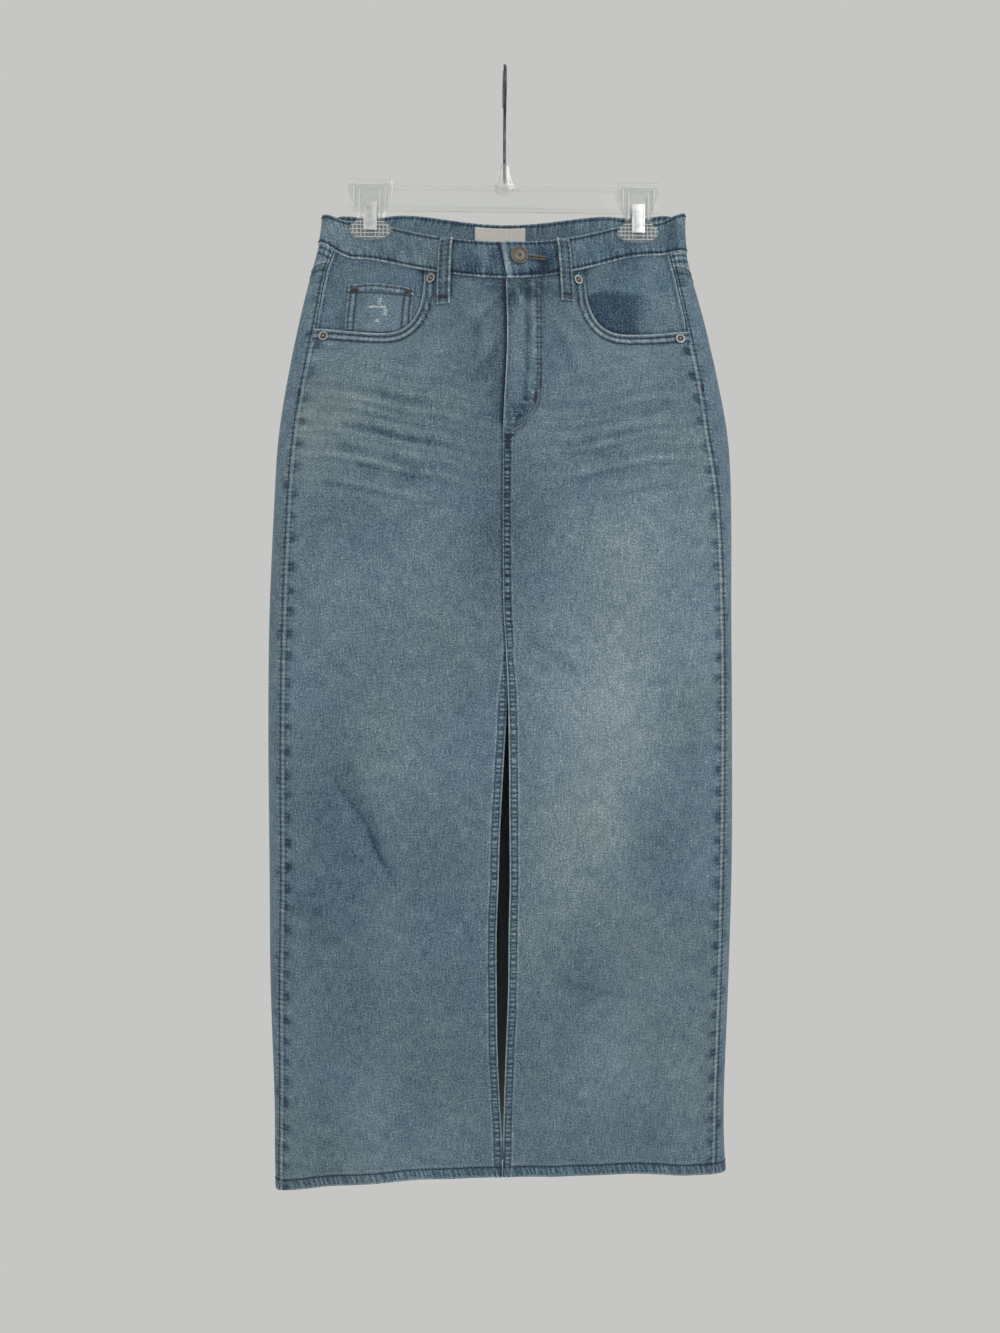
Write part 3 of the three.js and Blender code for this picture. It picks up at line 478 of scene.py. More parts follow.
class Surface:
    """A material in the making: its nodes, and the shader that they feed."""

    def __init__(self, name):
        self.material = bpy.data.materials.new(name)
        self.material.use_nodes = True
        self.tree = self.material.node_tree
        self.tree.nodes.clear()
        output = self.tree.nodes.new("ShaderNodeOutputMaterial")
        self.shader = self.tree.nodes.new("ShaderNodeBsdfPrincipled")
        self.tree.links.new(self.shader.outputs["BSDF"], output.inputs["Surface"])

    def give(self, socket, value):
        """Joins an input to what another node gives, or sets it to a constant."""
        if isinstance(value, Value):
            self.tree.links.new(value.socket, socket)
        else:
            socket.default_value = value

    def finish(self, inputs):
        """Feeds the shader's own inputs and gives the material."""
        for name, value in inputs.items():
            self.give(self.shader.inputs[name], value)
        return self.material

    def value(self, kind, output, settings=None, **inputs):
        """A node's output. Its inputs are named, or numbered as _0, _1 and so on."""
        node = self.tree.nodes.new("ShaderNode" + kind)
        for key, value in (settings or {}).items():
            setattr(node, key, value)
        for key, value in inputs.items():
            number = key.removeprefix("_")
            self.give(node.inputs[int(number) if number.isdigit() else key], value)
        return Value(self, node.outputs[output])

    def attribute(self, name):
        return self.value("Attribute", "Fac", {"attribute_name": name})

    def mapped(self, place, **inputs):
        return self.value("Mapping", "Vector", None, Vector=place, **inputs)

    def noise(self, place, scale, detail, roughness):
        inputs = {"Scale": scale, "Detail": detail, "Roughness": roughness}
        return self.value("TexNoise", "Fac", None, Vector=place, **inputs)

    def step(self, value, low, high, least=0.0, most=1.0):
        """A soft step from one value to another."""
        settings = {"interpolation_type": "SMOOTHSTEP"}
        return self.value("MapRange", 0, settings, _0=value, _1=low, _2=high, _3=least, _4=most)

    def mixed(self, share, first, second, blend="MIX"):
        settings = {"data_type": "RGBA", "blend_type": blend}
        return self.value("Mix", 2, settings, _0=share, _6=first, _7=second)

    def ramp(self, value, stops):
        colours = self.value("ValToRGB", "Color", None, Fac=value)
        elements = colours.socket.node.color_ramp.elements
        while len(elements) < len(stops):
            elements.new(1.0)
        for element, (place, colour) in zip(elements, stops):
            element.position = place
            element.color = linear(colour)
        return colours

    def bump(self, height, strength, distance):
        inputs = {"Strength": strength, "Distance": distance}
        return self.value("Bump", "Normal", None, Height=height, **inputs)


print("node helpers ready")

# %% Denim and its inside
# The ramp's stops are the cloth's own colours: raw indigo, deep blue in the seams, the washed
# blue that covers most of the skirt, the pale blue of the thighs, and bare weft.
INDIGO_STOPS = [
    (0.0, "#152435"),
    (0.22, "#2f485d"),
    (0.5, "#617784"),
    (0.72, "#80939e"),
    (1.0, "#bfc6c9"),
]


def denim(name, twill_lean):
    s = Surface(name)
    place = s.value("UVMap", "UV", {"uv_map": "cloth"})
    # The warp's slubs are thin and run down the cloth, so the noise is squeezed across it.
    slubs = s.noise(s.mapped(place, Scale=(620.0, 75.0, 1.0)), 1.0, 2.0, 0.6)
    weft = s.noise(s.mapped(place, Scale=(110.0, 560.0, 1.0)), 1.0, 1.0, 0.5)
    grain = s.noise(place, 640.0, 2.0, 0.7)
    mottle = s.noise(place, 70.0, 3.0, 0.55)
    cloud = s.noise(place, 11.0, 2.0, 0.5)
    # Twill: dark hollows between the diagonal ribs of warp.
    twill = s.value(
        "TexWave", "Fac", {"wave_type": "BANDS", "bands_direction": "X"},
        Vector=s.mapped(place, Rotation=(0, 0, twill_lean)),
        Scale=185.0, Distortion=2.5, Detail=1.0,
    )
    # Puckers: a stitched seam shrinks in the wash and draws the cloth up along its length, and
    # the tops of the little hills wear pale. They run along the seam's own length.
    run = s.attribute("run")
    wander, hills = (
        s.value(
            "TexNoise", "Fac", {"noise_dimensions": "1D"},
            W=run, Scale=scale, Detail=2.0, Roughness=0.65,
        )
        for scale in (45.0, 230.0)
    )
    wave = run * 1290.0 + wander * 12.0
    hills = wave.maths("SINE") * 0.13 + hills
    pucker = s.step(hills, 0.36, 0.66, -0.5, 0.5) * s.attribute("seam")
    # Fine creases from the wash: sparse pale scratches that cross the grain both ways.
    scratches = []
    for lean in (38, -31):
        slanted = s.mapped(place, Rotation=(0, 0, math.radians(lean)), Scale=(70.0, 620.0, 1.0))
        scratches.append(s.step(s.noise(slanted, 1.0, 1.0, 0.5), 0.62, 0.78))

    blue = s.attribute("fade") + 0.5
    for source, share in ((slubs, 0.5), (weft, 0.16), (grain, 1.4), (mottle, 0.28), (cloud, 0.2)):
        blue = (source - 0.5) * share + blue
    blue = (twill - 0.5) * 0.06 + blue
    blue = pucker * 0.5 + blue
    blue = (scratches[0] + scratches[1]) * 0.12 + blue
    # Worn lines, deep blue lines and painted shade are uneven: the grain lets the blue through
    # in places.
    blue = s.attribute("wear") * (mottle + 0.5) * 0.5 + blue
    blue = s.attribute("deep") * (mottle + 0.5) * -0.42 + blue
    colour = s.ramp(blue, INDIGO_STOPS)
    # The wash left some patches bluer and some greener, each a hand wide.
    patchy = s.step(s.noise(place, 8.0, 2.0, 0.5), 0.35, 0.65)
    cast = s.ramp(patchy, [(0.0, "#f4f9ff"), (1.0, "#fffffb")])
    colour = s.mixed(1.0, colour, cast, "MULTIPLY")
    # A yellowish cast, where the photo shows that the wash has tinted the cloth.
    tinted = s.mixed(s.attribute("stain") * (cloud + 0.5), colour, linear("#87907c"))
    # The reverse of denim is the white weft side: paler, greyer and without wear.
    reverse = s.ramp(slubs * 0.5 + 0.25, [(0.3, "#69747b"), (0.7, "#8f989c")])
    relief = slubs * 0.5 + twill * 0.12
    relief = pucker * 2.2 + (grain * 0.5 + relief)
    return s.finish({
        "Base Color": s.mixed(s.attribute("inside"), tinted, reverse),
        "Normal": s.bump(relief, 0.55, 0.0005),
        "Roughness": 0.92,
        "Specular IOR Level": 0.25,
        "Sheen Weight": 0.12,
        "Sheen Roughness": 0.6,
    })


DENIM = denim("washed_indigo_denim", math.radians(62))
print("denim has", len(DENIM.node_tree.nodes), "nodes")

# %% [markdown]
# ## The other materials
#
# The thread is polyester-wrapped cotton: dark blue-grey on most seams, brown at the
# pockets, and white where it has frayed. The button and rivets are plated brass gone dull. The
# hanger is clear polystyrene, moulded in one shot, with a plain steel hook and a bright sprung
# strip in each clip.

# %% Thread, tape and label


def plain_cloth(name, colour, variation, scale):
    """A cloth or thread whose colour wavers a little, as dyed fibre does."""
    s = Surface(name)
    wavers = s.noise(s.value("TexCoord", "Object"), scale, 2.0, 0.6)
    stops = []
    for place, change in ((0.35, -variation), (0.65, variation)):
        channels = [int(colour[at:at + 2], 16) + change for at in (1, 3, 5)]
        stops.append((place, "#" + "".join(f"{min(255, max(0, c)):02x}" for c in channels)))
    return s.finish({
        "Base Color": s.ramp(wavers, stops),
        "Normal": s.bump(wavers, 0.4, 0.0002),
        "Roughness": 0.9,
        "Specular IOR Level": 0.3,
    })


DARK_THREAD = plain_cloth("blue_grey_thread", "#35404a", 12, 700.0)
TAN_THREAD = plain_cloth("brown_thread", "#55504a", 14, 700.0)
BARTACK_THREAD = plain_cloth("brown_bartack_thread", "#4a403b", 10, 700.0)
HOLE_THREAD = plain_cloth("tan_buttonhole_thread", "#847b6b", 12, 700.0)
WHITE_THREAD = plain_cloth("white_frayed_thread", "#c3cbce", 12, 600.0)
TAPE = plain_cloth("zip_tape", "#3c4650", 8, 900.0)
LABEL_CLOTH = plain_cloth("woven_label", "#ded9d2", 6, 500.0)
print("threads, tape and label ready")

# %% Metal and plastic


def metal(name, bright, dull, roughness, scale):
    """Plated metal: its tarnish is darker and rougher in patches, which a noise gives. The
    mesh says where the metal is drawn darker, partly painted shade; a mesh that doesn't say has none."""
    s = Surface(name)
    patchy = s.noise(s.value("TexCoord", "Object"), scale, 3.0, 0.6)
    plain = s.ramp(patchy, [(0.35, dull), (0.65, bright)])
    return s.finish({
        "Base Color": s.mixed(s.attribute("dirt"), plain, linear("#33322f")),
        "Roughness": patchy * -0.12 + (roughness + 0.12),
        "Metallic": 1.0,
    })


def clear_plastic(name, colour, through, opacity):
    """Clear moulded plastic: nearly all light goes through, and the edges gather it. The walls
    are thin, so part of the light isn't bent at all, which the opacity gives."""
    s = Surface(name)
    flow = s.noise(s.value("TexCoord", "Object"), 60.0, 1.0, 0.5)
    return s.finish({
        "Normal": s.bump(flow, 0.12, 0.0005),
        "Base Color": linear(colour),
        "Roughness": 0.1,
        "IOR": 1.45,
        "Transmission Weight": through,
        "Alpha": opacity,
    })


BUTTON_METAL = metal("dull_plated_brass", "#7f7a73", "#726d66", 0.5, 160.0)
RIVET_METAL = metal("silvered_copper", "#b4b4b2", "#8f8f8e", 0.48, 420.0)
WIRE_STEEL = metal("hook_wire_steel", "#6c6d6e", "#4b4c4e", 0.3, 90.0)
SPRING_STEEL = metal("bright_spring_strip", "#f0f1f1", "#cbcdcf", 0.34, 120.0)
PLASTIC = clear_plastic("clear_polystyrene", "#eceeec", 0.75, 0.42)
# The ribs' copy of the plastic is whiter and less clear, so each rib shows as a painted highlight.
PAINTED_HIGHLIGHT_RIB_PLASTIC = clear_plastic("clear_polystyrene_ribs_painted_highlight", "#f2f3f1", 0.2, 0.62)
print("metal and plastic ready")

# %% [markdown]
# ## Making a cloth wall
#
# A piece of cloth is two grids of points a cloth's thickness apart, sewn together along their
# four edges, which is what a real panel is: an outside, an inside and four cut edges. The grid is
# about 3 mm across and as fine as 1 mm where an edge or seam needs a thin worn line. Each point
# also carries the marks that the denim reads. A mark that a piece doesn't give is nought.

# %% Meshes
MARKS = ("fade", "wear", "deep", "seam", "run", "stain", "inside")


def finish_piece(name, mesh, material, slot, *nodes):
    piece = bpy.data.objects.new(name, mesh)
    bpy.context.scene.collection.objects.link(piece)
    mesh.materials.append(material)
    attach(piece, "root")
    if nodes:
        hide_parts(*nodes)
    return piece


def new_mesh(name, points, faces, smooth_faces=True):
    """A mesh from points in millimetres."""
    mesh = bpy.data.meshes.new(name)
    mesh.from_pydata((np.asarray(points, float) * MM).tolist(), [], faces)
    mesh.polygons.foreach_set("use_smooth", [smooth_faces] * len(faces))
    return mesh


def ring_faces(rings, sides, capped=True):
    """The faces of a round form: quads from ring to ring, and a cap at each end."""
    faces = []
    for ring in range(rings - 1):
        for k in range(sides):
            a = ring * sides + k
            b = ring * sides + (k + 1) % sides
            faces.append([a, b, b + sides, a + sides])
    if capped:
        last = (rings - 1) * sides
        faces += [list(range(sides))[::-1], list(range(last, last + sides))]
    return faces


def along_rows(points):
    """Distance along each row of a grid from its first column."""
    steps = np.linalg.norm(np.diff(points, axis=1), axis=-1)
    return np.concatenate([np.zeros((len(points), 1)), np.cumsum(steps, axis=1)], axis=1)


def wall_faces(rows, columns):
    r, c = np.meshgrid(np.arange(rows - 1), np.arange(columns - 1), indexing="ij")
    a = (r * columns + c).ravel()
    b = a + columns
    inner = rows * columns
    outside = np.stack([a, b, b + 1, a + 1], axis=1)
    inside = np.stack([a, a + 1, b + 1, b], axis=1) + inner
    top = np.arange(columns - 1)
    low = top + (rows - 1) * columns
    left = np.arange(rows - 1) * columns
    right = left + columns - 1
    edges = [
        np.stack([top, top + 1, top + 1 + inner, top + inner], axis=1),
        np.stack([low, low + inner, low + 1 + inner, low + 1], axis=1),
        np.stack([left, left + inner, left + columns + inner, left + columns], axis=1),
        np.stack([right, right + columns, right + columns + inner, right + inner], axis=1),
    ]
    return np.concatenate([outside, inside, *edges])


def cloth(
    name, angle, z, outer, inner, marks, node, shift, reverse=True, slot="denim", material=DENIM
):
    """A wall of cloth on the form. `shift` slides the weave so that no two pieces match.
    A folded strip shows the denim's face on both sides, so it has no `reverse`."""
    outer_points = lifted(angle, z, np.broadcast_to(outer, angle.shape))
    inner_points = lifted(angle, z, np.broadcast_to(inner, angle.shape))
    rows, columns = angle.shape
    quads = wall_faces(rows, columns)
    points = np.concatenate([outer_points.reshape(-1, 3), inner_points.reshape(-1, 3)])
    probe = quads[(rows // 2) * (columns - 1) + columns // 2]
    a, b, c = (points[i] for i in probe[:3])
    out = form_normal(angle, z)[rows // 2, columns // 2]
    if np.dot(np.cross(b - a, c - a), out) < 0:
        quads = quads[:, ::-1]
    mesh = new_mesh(name, points, quads.tolist())
    across = along_rows(outer_points)
    flat = np.stack([across + shift, z], axis=-1).reshape(-1, 2) * MM
    flat = np.concatenate([flat, flat])
    layer = mesh.uv_layers.new(name="cloth")
    corners = np.zeros(len(mesh.loops), np.int32)
    mesh.loops.foreach_get("vertex_index", corners)
    layer.data.foreach_set("uv", flat[corners].astype(np.float32).ravel())
    count = rows * columns
    for mark in MARKS:
        values = np.zeros(2 * count, np.float32)
        if mark == "inside":
            values[count:] = 1.0 if reverse else 0.0
        elif mark in marks:
            most = 1.0 if mark == "wear" else np.inf
            given = np.broadcast_to(np.minimum(marks[mark], most), angle.shape)
            values[:] = np.tile(given.astype(np.float32).ravel(), 2)
        mesh.attributes.new(mark, "FLOAT", "POINT").data.foreach_set("value", values)
    return finish_piece(name, mesh, material, slot, node)


print("cloth walls ready")

# %% [markdown]
# ## How the skirt has faded
#
# Stonewashing takes the blue off the thighs and leaves it at the sides and low down. In the photo
# the viewer's right thigh is the palest part, with a yellowish cast, the hips have whiskers, and
# the lower half is darker, more so on the left. Each row below is one soft patch. A few rows are
# painted light and shade instead of fade, on both sides of the long crease low on the left.

# %% Fades
# x, z, width, height, amount
FADES_AND_SHADING = {
    "front": [
        (105, -600, 70, 180, 0.15), (140, -470, 70, 130, 0.07), (60, -700, 46, 130, 0.07),
        (-80, -560, 90, 150, 0.065), (-100, -330, 90, 40, 0.01), (120, -320, 60, 50, -0.06),
        (-170, -760, 60, 120, -0.06), (-70, -780, 60, 90, -0.03), (-110, -930, 130, 120, -0.02),
        (160, -740, 34, 60, -0.06), (95, -860, 50, 60, -0.06), (130, -990, 90, 110, 0.065),
        (200, -560, 26, 200, 0.04), (-205, -640, 26, 260, 0.03), (-30, -760, 30, 120, 0.03),
        (-100, -1080, 90, 46, 0.03), (-130, -700, 26, 40, 0.03), (-10, -430, 34, 60, -0.07),
        (-14, -330, 26, 90, -0.07), (-20, -520, 22, 90, -0.04), (20, -420, 26, 50, -0.05),
        (10, -272, 8, 46, 0.075), (24, -262, 3, 50, 0.05), (11, -329, 11, 12, -0.3),
        (10, -219, 17, 9, -0.38), (32, -214, 16, 8, -0.27), (3, -230, 6, 9, -0.14),
        (-52, -240, 30, 40, -0.03), (46, -250, 26, 40, -0.02), (-196, -340, 24, 120, 0.06),
        # (-160, -760) and (-100, -670) are painted shade and painted light on the two sides of the
        # long crease low on the viewer's left.
        (200, -400, 30, 220, 0.055), (-160, -760, 40, 50, -0.05), (-100, -670, 34, 40, 0.03),
        (-52, -545, 26, 40, -0.035), (107, -785, 30, 34, -0.03), (-118, -829, 26, 50, 0.03),
        (130, -905, 46, 110, 0.055), (-147, -932, 34, 36, -0.04), (-60, -958, 34, 36, -0.04),
        (44, -960, 26, 30, -0.04), (-147, -1004, 24, 30, 0.03), (176, -642, 30, 46, -0.05),
        (138, -751, 30, 40, -0.045), (-40, -705, 26, 46, -0.045), (-142, -892, 30, 40, -0.035),
        (-103, -852, 40, 40, 0.035), (-157, -503, 34, 40, 0.04), (53, -794, 30, 50, 0.04),
    ],
    "back": [
        (0, -480, 120, 180, 0.08), (-90, -640, 70, 150, 0.05), (96, -600, 70, 160, 0.06),
        (0, -900, 200, 160, -0.04), (-200, -700, 40, 300, 0.02), (200, -700, 40, 300, 0.09),
    ],
}

# The same for the waistband, which was washed in its own folds. The dark rows at x -11 and -32,
# beside the lapped end, are painted shade.
BAND_FADES_AND_SHADE = [
    (36, -187, 11, 14, -0.24), (26, -199, 15, 5, -0.22), (19, -196, 2.5, 6, 0.18),
    (27, -194, 2.5, 7, 0.14), (96, -172, 56, 18, -0.05), (6, -196, 6, 8, 0.08), (4, -177, 8, 5, 0.05),
    (-11, -188, 5, 14, -0.2), (-19, -186, 3, 14, 0.08), (-32, -192, 12, 9, -0.14),
    (-40, -178, 14, 8, -0.05), (84, -186, 26, 8, 0.05), (-90, -184, 26, 10, 0.03),
    (112, -176, 14, 10, -0.06), (-112, -176, 14, 10, -0.05), (160, -154, 10, 14, -0.12),
    (-160, -154, 12, 14, 0.04),
]

# x, z, width, height, amount
STAINS = {
    "front": [
        (0, -300, 260, 150, 0.045), (83, -664, 40, 60, 0.16), (116, -534, 30, 80, 0.08),
        (-118, -829, 26, 50, 0.06), (126, -885, 34, 90, 0.07), (-180, -335, 26, 50, 0.14),
        (-150, -322, 22, 16, 0.1),
    ],
    "back": [
        (60, -700, 60, 90, 0.16),
    ],
}

# x0, z0, x1, z1, width, amount
STREAKS = {
    "front": [
        (-161, -351, -130, -361, 5, -0.08), (-144, -337, -96, -353, 5, -0.09),
        (-146, -371, -118, -381, 4, -0.10), (-158, -326, -112, -337, 5, -0.06),
        (-140, -306, -80, -318, 5, -0.05), (-118, -371, -72, -382, 5, -0.06),
        (-112, -384, -48, -396, 5, -0.06), (-190, -352, -152, -364, 6, 0.06),
        (-176, -330, -150, -338, 5, 0.06), (-128, -362, -60, -372, 4, 0.05),
        (-128, -396, -60, -410, 6, 0.04), (40, -356, 110, -340, 5, -0.05),
        (46, -372, 120, -356, 5, -0.06), (60, -392, 132, -372, 5, -0.06),
        (110, -330, 170, -318, 6, -0.04), (70, -364, 140, -348, 4, 0.05),
        # (-172, -655) is the long crease's painted shade line, and (-186, -636) the painted pale strip
        # beside it.
        (50, -384, 126, -366, 4, 0.05), (-172, -655, -97, -797, 2.6, -0.12),
        (-186, -636, -116, -768, 6, 0.04), (-30, -560, -10, -640, 7, 0.03),
        (12, -524, 84, -588, 9, -0.06), (46, -878, 150, -902, 5, -0.04),
        (7, -208, 13, -234, 2.5, 0.22), (20, -207, 14, -230, 2.5, 0.2), (28, -207, 40, -222, 2.5, 0.2),
        (1, -236, 8, -246, 2.5, -0.12), (2, -208, 4, -222, 3, 0.1), (-4, -214, -30, -244, 3, 0.1),
        (-5, -222, -34, -262, 3, -0.12), (-4, -246, -36, -292, 3, 0.08),
        (-4, -262, -30, -304, 4, -0.08), (-6, -290, -40, -330, 4, 0.05),
        (-6, -206, -22, -216, 4, -0.14), (4, -322, 7, -340, 2, 0.2), (12, -318, 10, -332, 2, 0.14),
        (62, -214, 96, -262, 4, 0.06), (48, -232, 84, -300, 5, 0.05), (40, -236, 70, -306, 4, -0.06),
        (74, -262, 120, -300, 5, 0.04), (-50, -246, -84, -296, 5, 0.05),
        (-36, -220, -60, -262, 5, -0.06), (-30, -226, -26, -330, 5, -0.05),
    ],
    "back": [
        (-160, -306, -40, -330, 6, -0.06), (166, -310, 44, -338, 6, -0.06),
        (-120, -372, 120, -376, 7, 0.05),
    ],
}

STREAK_STRENGTH = 1.25

# Whiskers: middle x, middle z, half width, half height, slope, strength. Sitting folds the cloth
# across the hips in many short creases, which fan down towards the centre.
WHISKERS = [
    (-120, -350, 88, 62, -0.2, 0.24),
    (112, -352, 82, 54, 0.17, 0.19),
]


def whiskers(x, z):
    total = np.zeros(np.shape(x))
    for middle_x, middle_z, half_x, half_z, slope, strength in WHISKERS:
        over = z - slope * (x - middle_x) + 3.0 * ripple(x, 83, middle_x)
        broken = 0.8 + 0.4 * ripple(x + 2.3 * over, 96, 1.9)
        near = ((x - middle_x) / half_x) ** 2 + ((z - middle_z) / half_z) ** 2
        total += strength * ripple(over, 11.5, 3.1) * broken * np.exp(-near)
    return total


def patches(rows, x, z):
    total = np.zeros(np.shape(x))
    for x0, z0, width, height, amount in rows:
        total += amount * np.exp(-(((x - x0) / width) ** 2) - ((z - z0) / height) ** 2)
    return total


def loop_shade(x, z):
    """The painted shadow of each front belt loop: a dark line on the cloth along both its sides."""
    shade = np.zeros(np.shape(x))
    for x_top, x_foot, foot in ((-54.7, -57.6, -220), (53.6, 57.9, -218)):
        middle = mix(x_top, x_foot, (z + 160) / (foot + 160))
        shade += line(np.abs(x - middle), 6.9, 1.1) * smooth((z - foot) / 3)
    return shade


def fade_and_shading_of(side, x, z):
    """The broad fade, with painted light and shade on the folds: their crests are painted paler
    than their troughs.
    """
    fold_light_and_shade = 0.016 * fold_lift(side, x, z)
    creased = whiskers(x, z) if side == "front" else 0.0
    streaks = STREAK_STRENGTH * strokes(STREAKS[side], x, z, 3)
    return patches(FADES_AND_SHADING[side], x, z) + streaks + fold_light_and_shade + creased


print(len(FADES_AND_SHADING["front"]), "fades and", len(STREAKS["front"]), "streaks in front")

# %% [markdown]
# ## The two fronts
#
# A front is cut from the waistband's seam down to the hem, from the centre to the side, with the
# pocket's scoop taken out of its top corner. The columns of its grid follow the slit's edge, the
# scoop and the side seam, as a pattern's own lines do. Along the slit, the hem and the scoop it
# is turned in and stitched: a puckered strip, a pale ridge where the layer under it ends, and a
# pale folded edge.

# %% Fronts
SLIT_FACING = 14


def front_grid(side):
    sign = SIGN[side]
    inset = SLIT_FACING + 1.5

    def share(x, z):
        start = centre_angle(side, z, inset)
        end = sign * seam_angle(side, z, -GAP / 2)
        return (angle_of(sign * x, z) - start) / (end - start)

    aways = [GAP / 2, 0.7, 1.4, *np.arange(2.2, inset, 1.0), inset]
    shares, tops = [], []
    for x in np.linspace(inset + 3, SCOOP_START - 1, 21):
        shares.append(float(share(x, SCOOP_TOP)))
        tops.append(np.nan)
    for x, z in zip(*scoop_corner(np.radians(np.linspace(12, 90, 30)))):
        shares.append(float(share(x, z)))
        tops.append(z)
    side_x = abs(float(read(SECTIONS, SEAM[side], SCOOP_SIDE)))
    for x in [*np.linspace(124, side_x - 9, 15), *np.linspace(side_x - 8, side_x - 1, 8)]:
        shares.append(float(share(x, SCOOP_BOTTOM)))
        tops.append(float(scoop_edge(x)))
    shares.append(1.0)
    tops.append(SCOOP_SIDE)
    count = len(aways) + len(shares)
    aways = np.array(aways)
    shares = np.array(shares)

    def angles(z):
        """Angles of all the columns at heights whose last axis is the columns."""
        z = np.broadcast_to(z, np.shape(z)[:-1] + (count,))
        near = centre_angle(side, z[..., :len(aways)], aways)
        far_z = z[..., len(aways):]
        start = centre_angle(side, far_z, inset)
        end = sign * seam_angle(side, far_z, -GAP / 2)
        return np.concatenate([near, mix(start, end, shares)], axis=-1)

    band = np.full(count, float(BAND_BOTTOM_MIDDLE))
    for _ in range(4):
        band = band_edge(angles(band), "bottom")
    top = np.concatenate([np.full(len(aways), np.nan), np.array(tops)])
    top = np.where(np.isnan(top), band - GAP / 2, top)
    bottom = hem_edge(angles(np.full(count, float(HEM_MIDDLE))))
    z = panel_rows(top, bottom, 27, 266)
    return angles(z), z


def scoop_distance(x, z):
    """Distance below the scoop's edge, and how far along it, for points of a front."""
    edge_x, edge_z = scoop_corner(np.radians(np.linspace(0, 90, 80)))
    rest = np.linspace(SCOOP_LOWEST + 1, 190, 60)
    edge_x = np.concatenate([[SCOOP_START], edge_x, rest])
    edge_z = np.concatenate([[-180.0], edge_z, scoop_edge(rest)])
    run = length_along(edge_x, edge_z)
    gap = np.hypot(np.abs(x)[..., None] - edge_x, z[..., None] - edge_z)
    nearest = gap.argmin(axis=-1)
    return gap.min(axis=-1), run[nearest]


def strip_reach(side, z):
    """Width of the slit's turned-in strip: it starts under the lap and widens down the slit."""
    opening = smooth((SLIT_TOP + 8 - z) / 62)
    return 9.2 * mix(0.3 if side == "right" else 0.8, 1, opening)


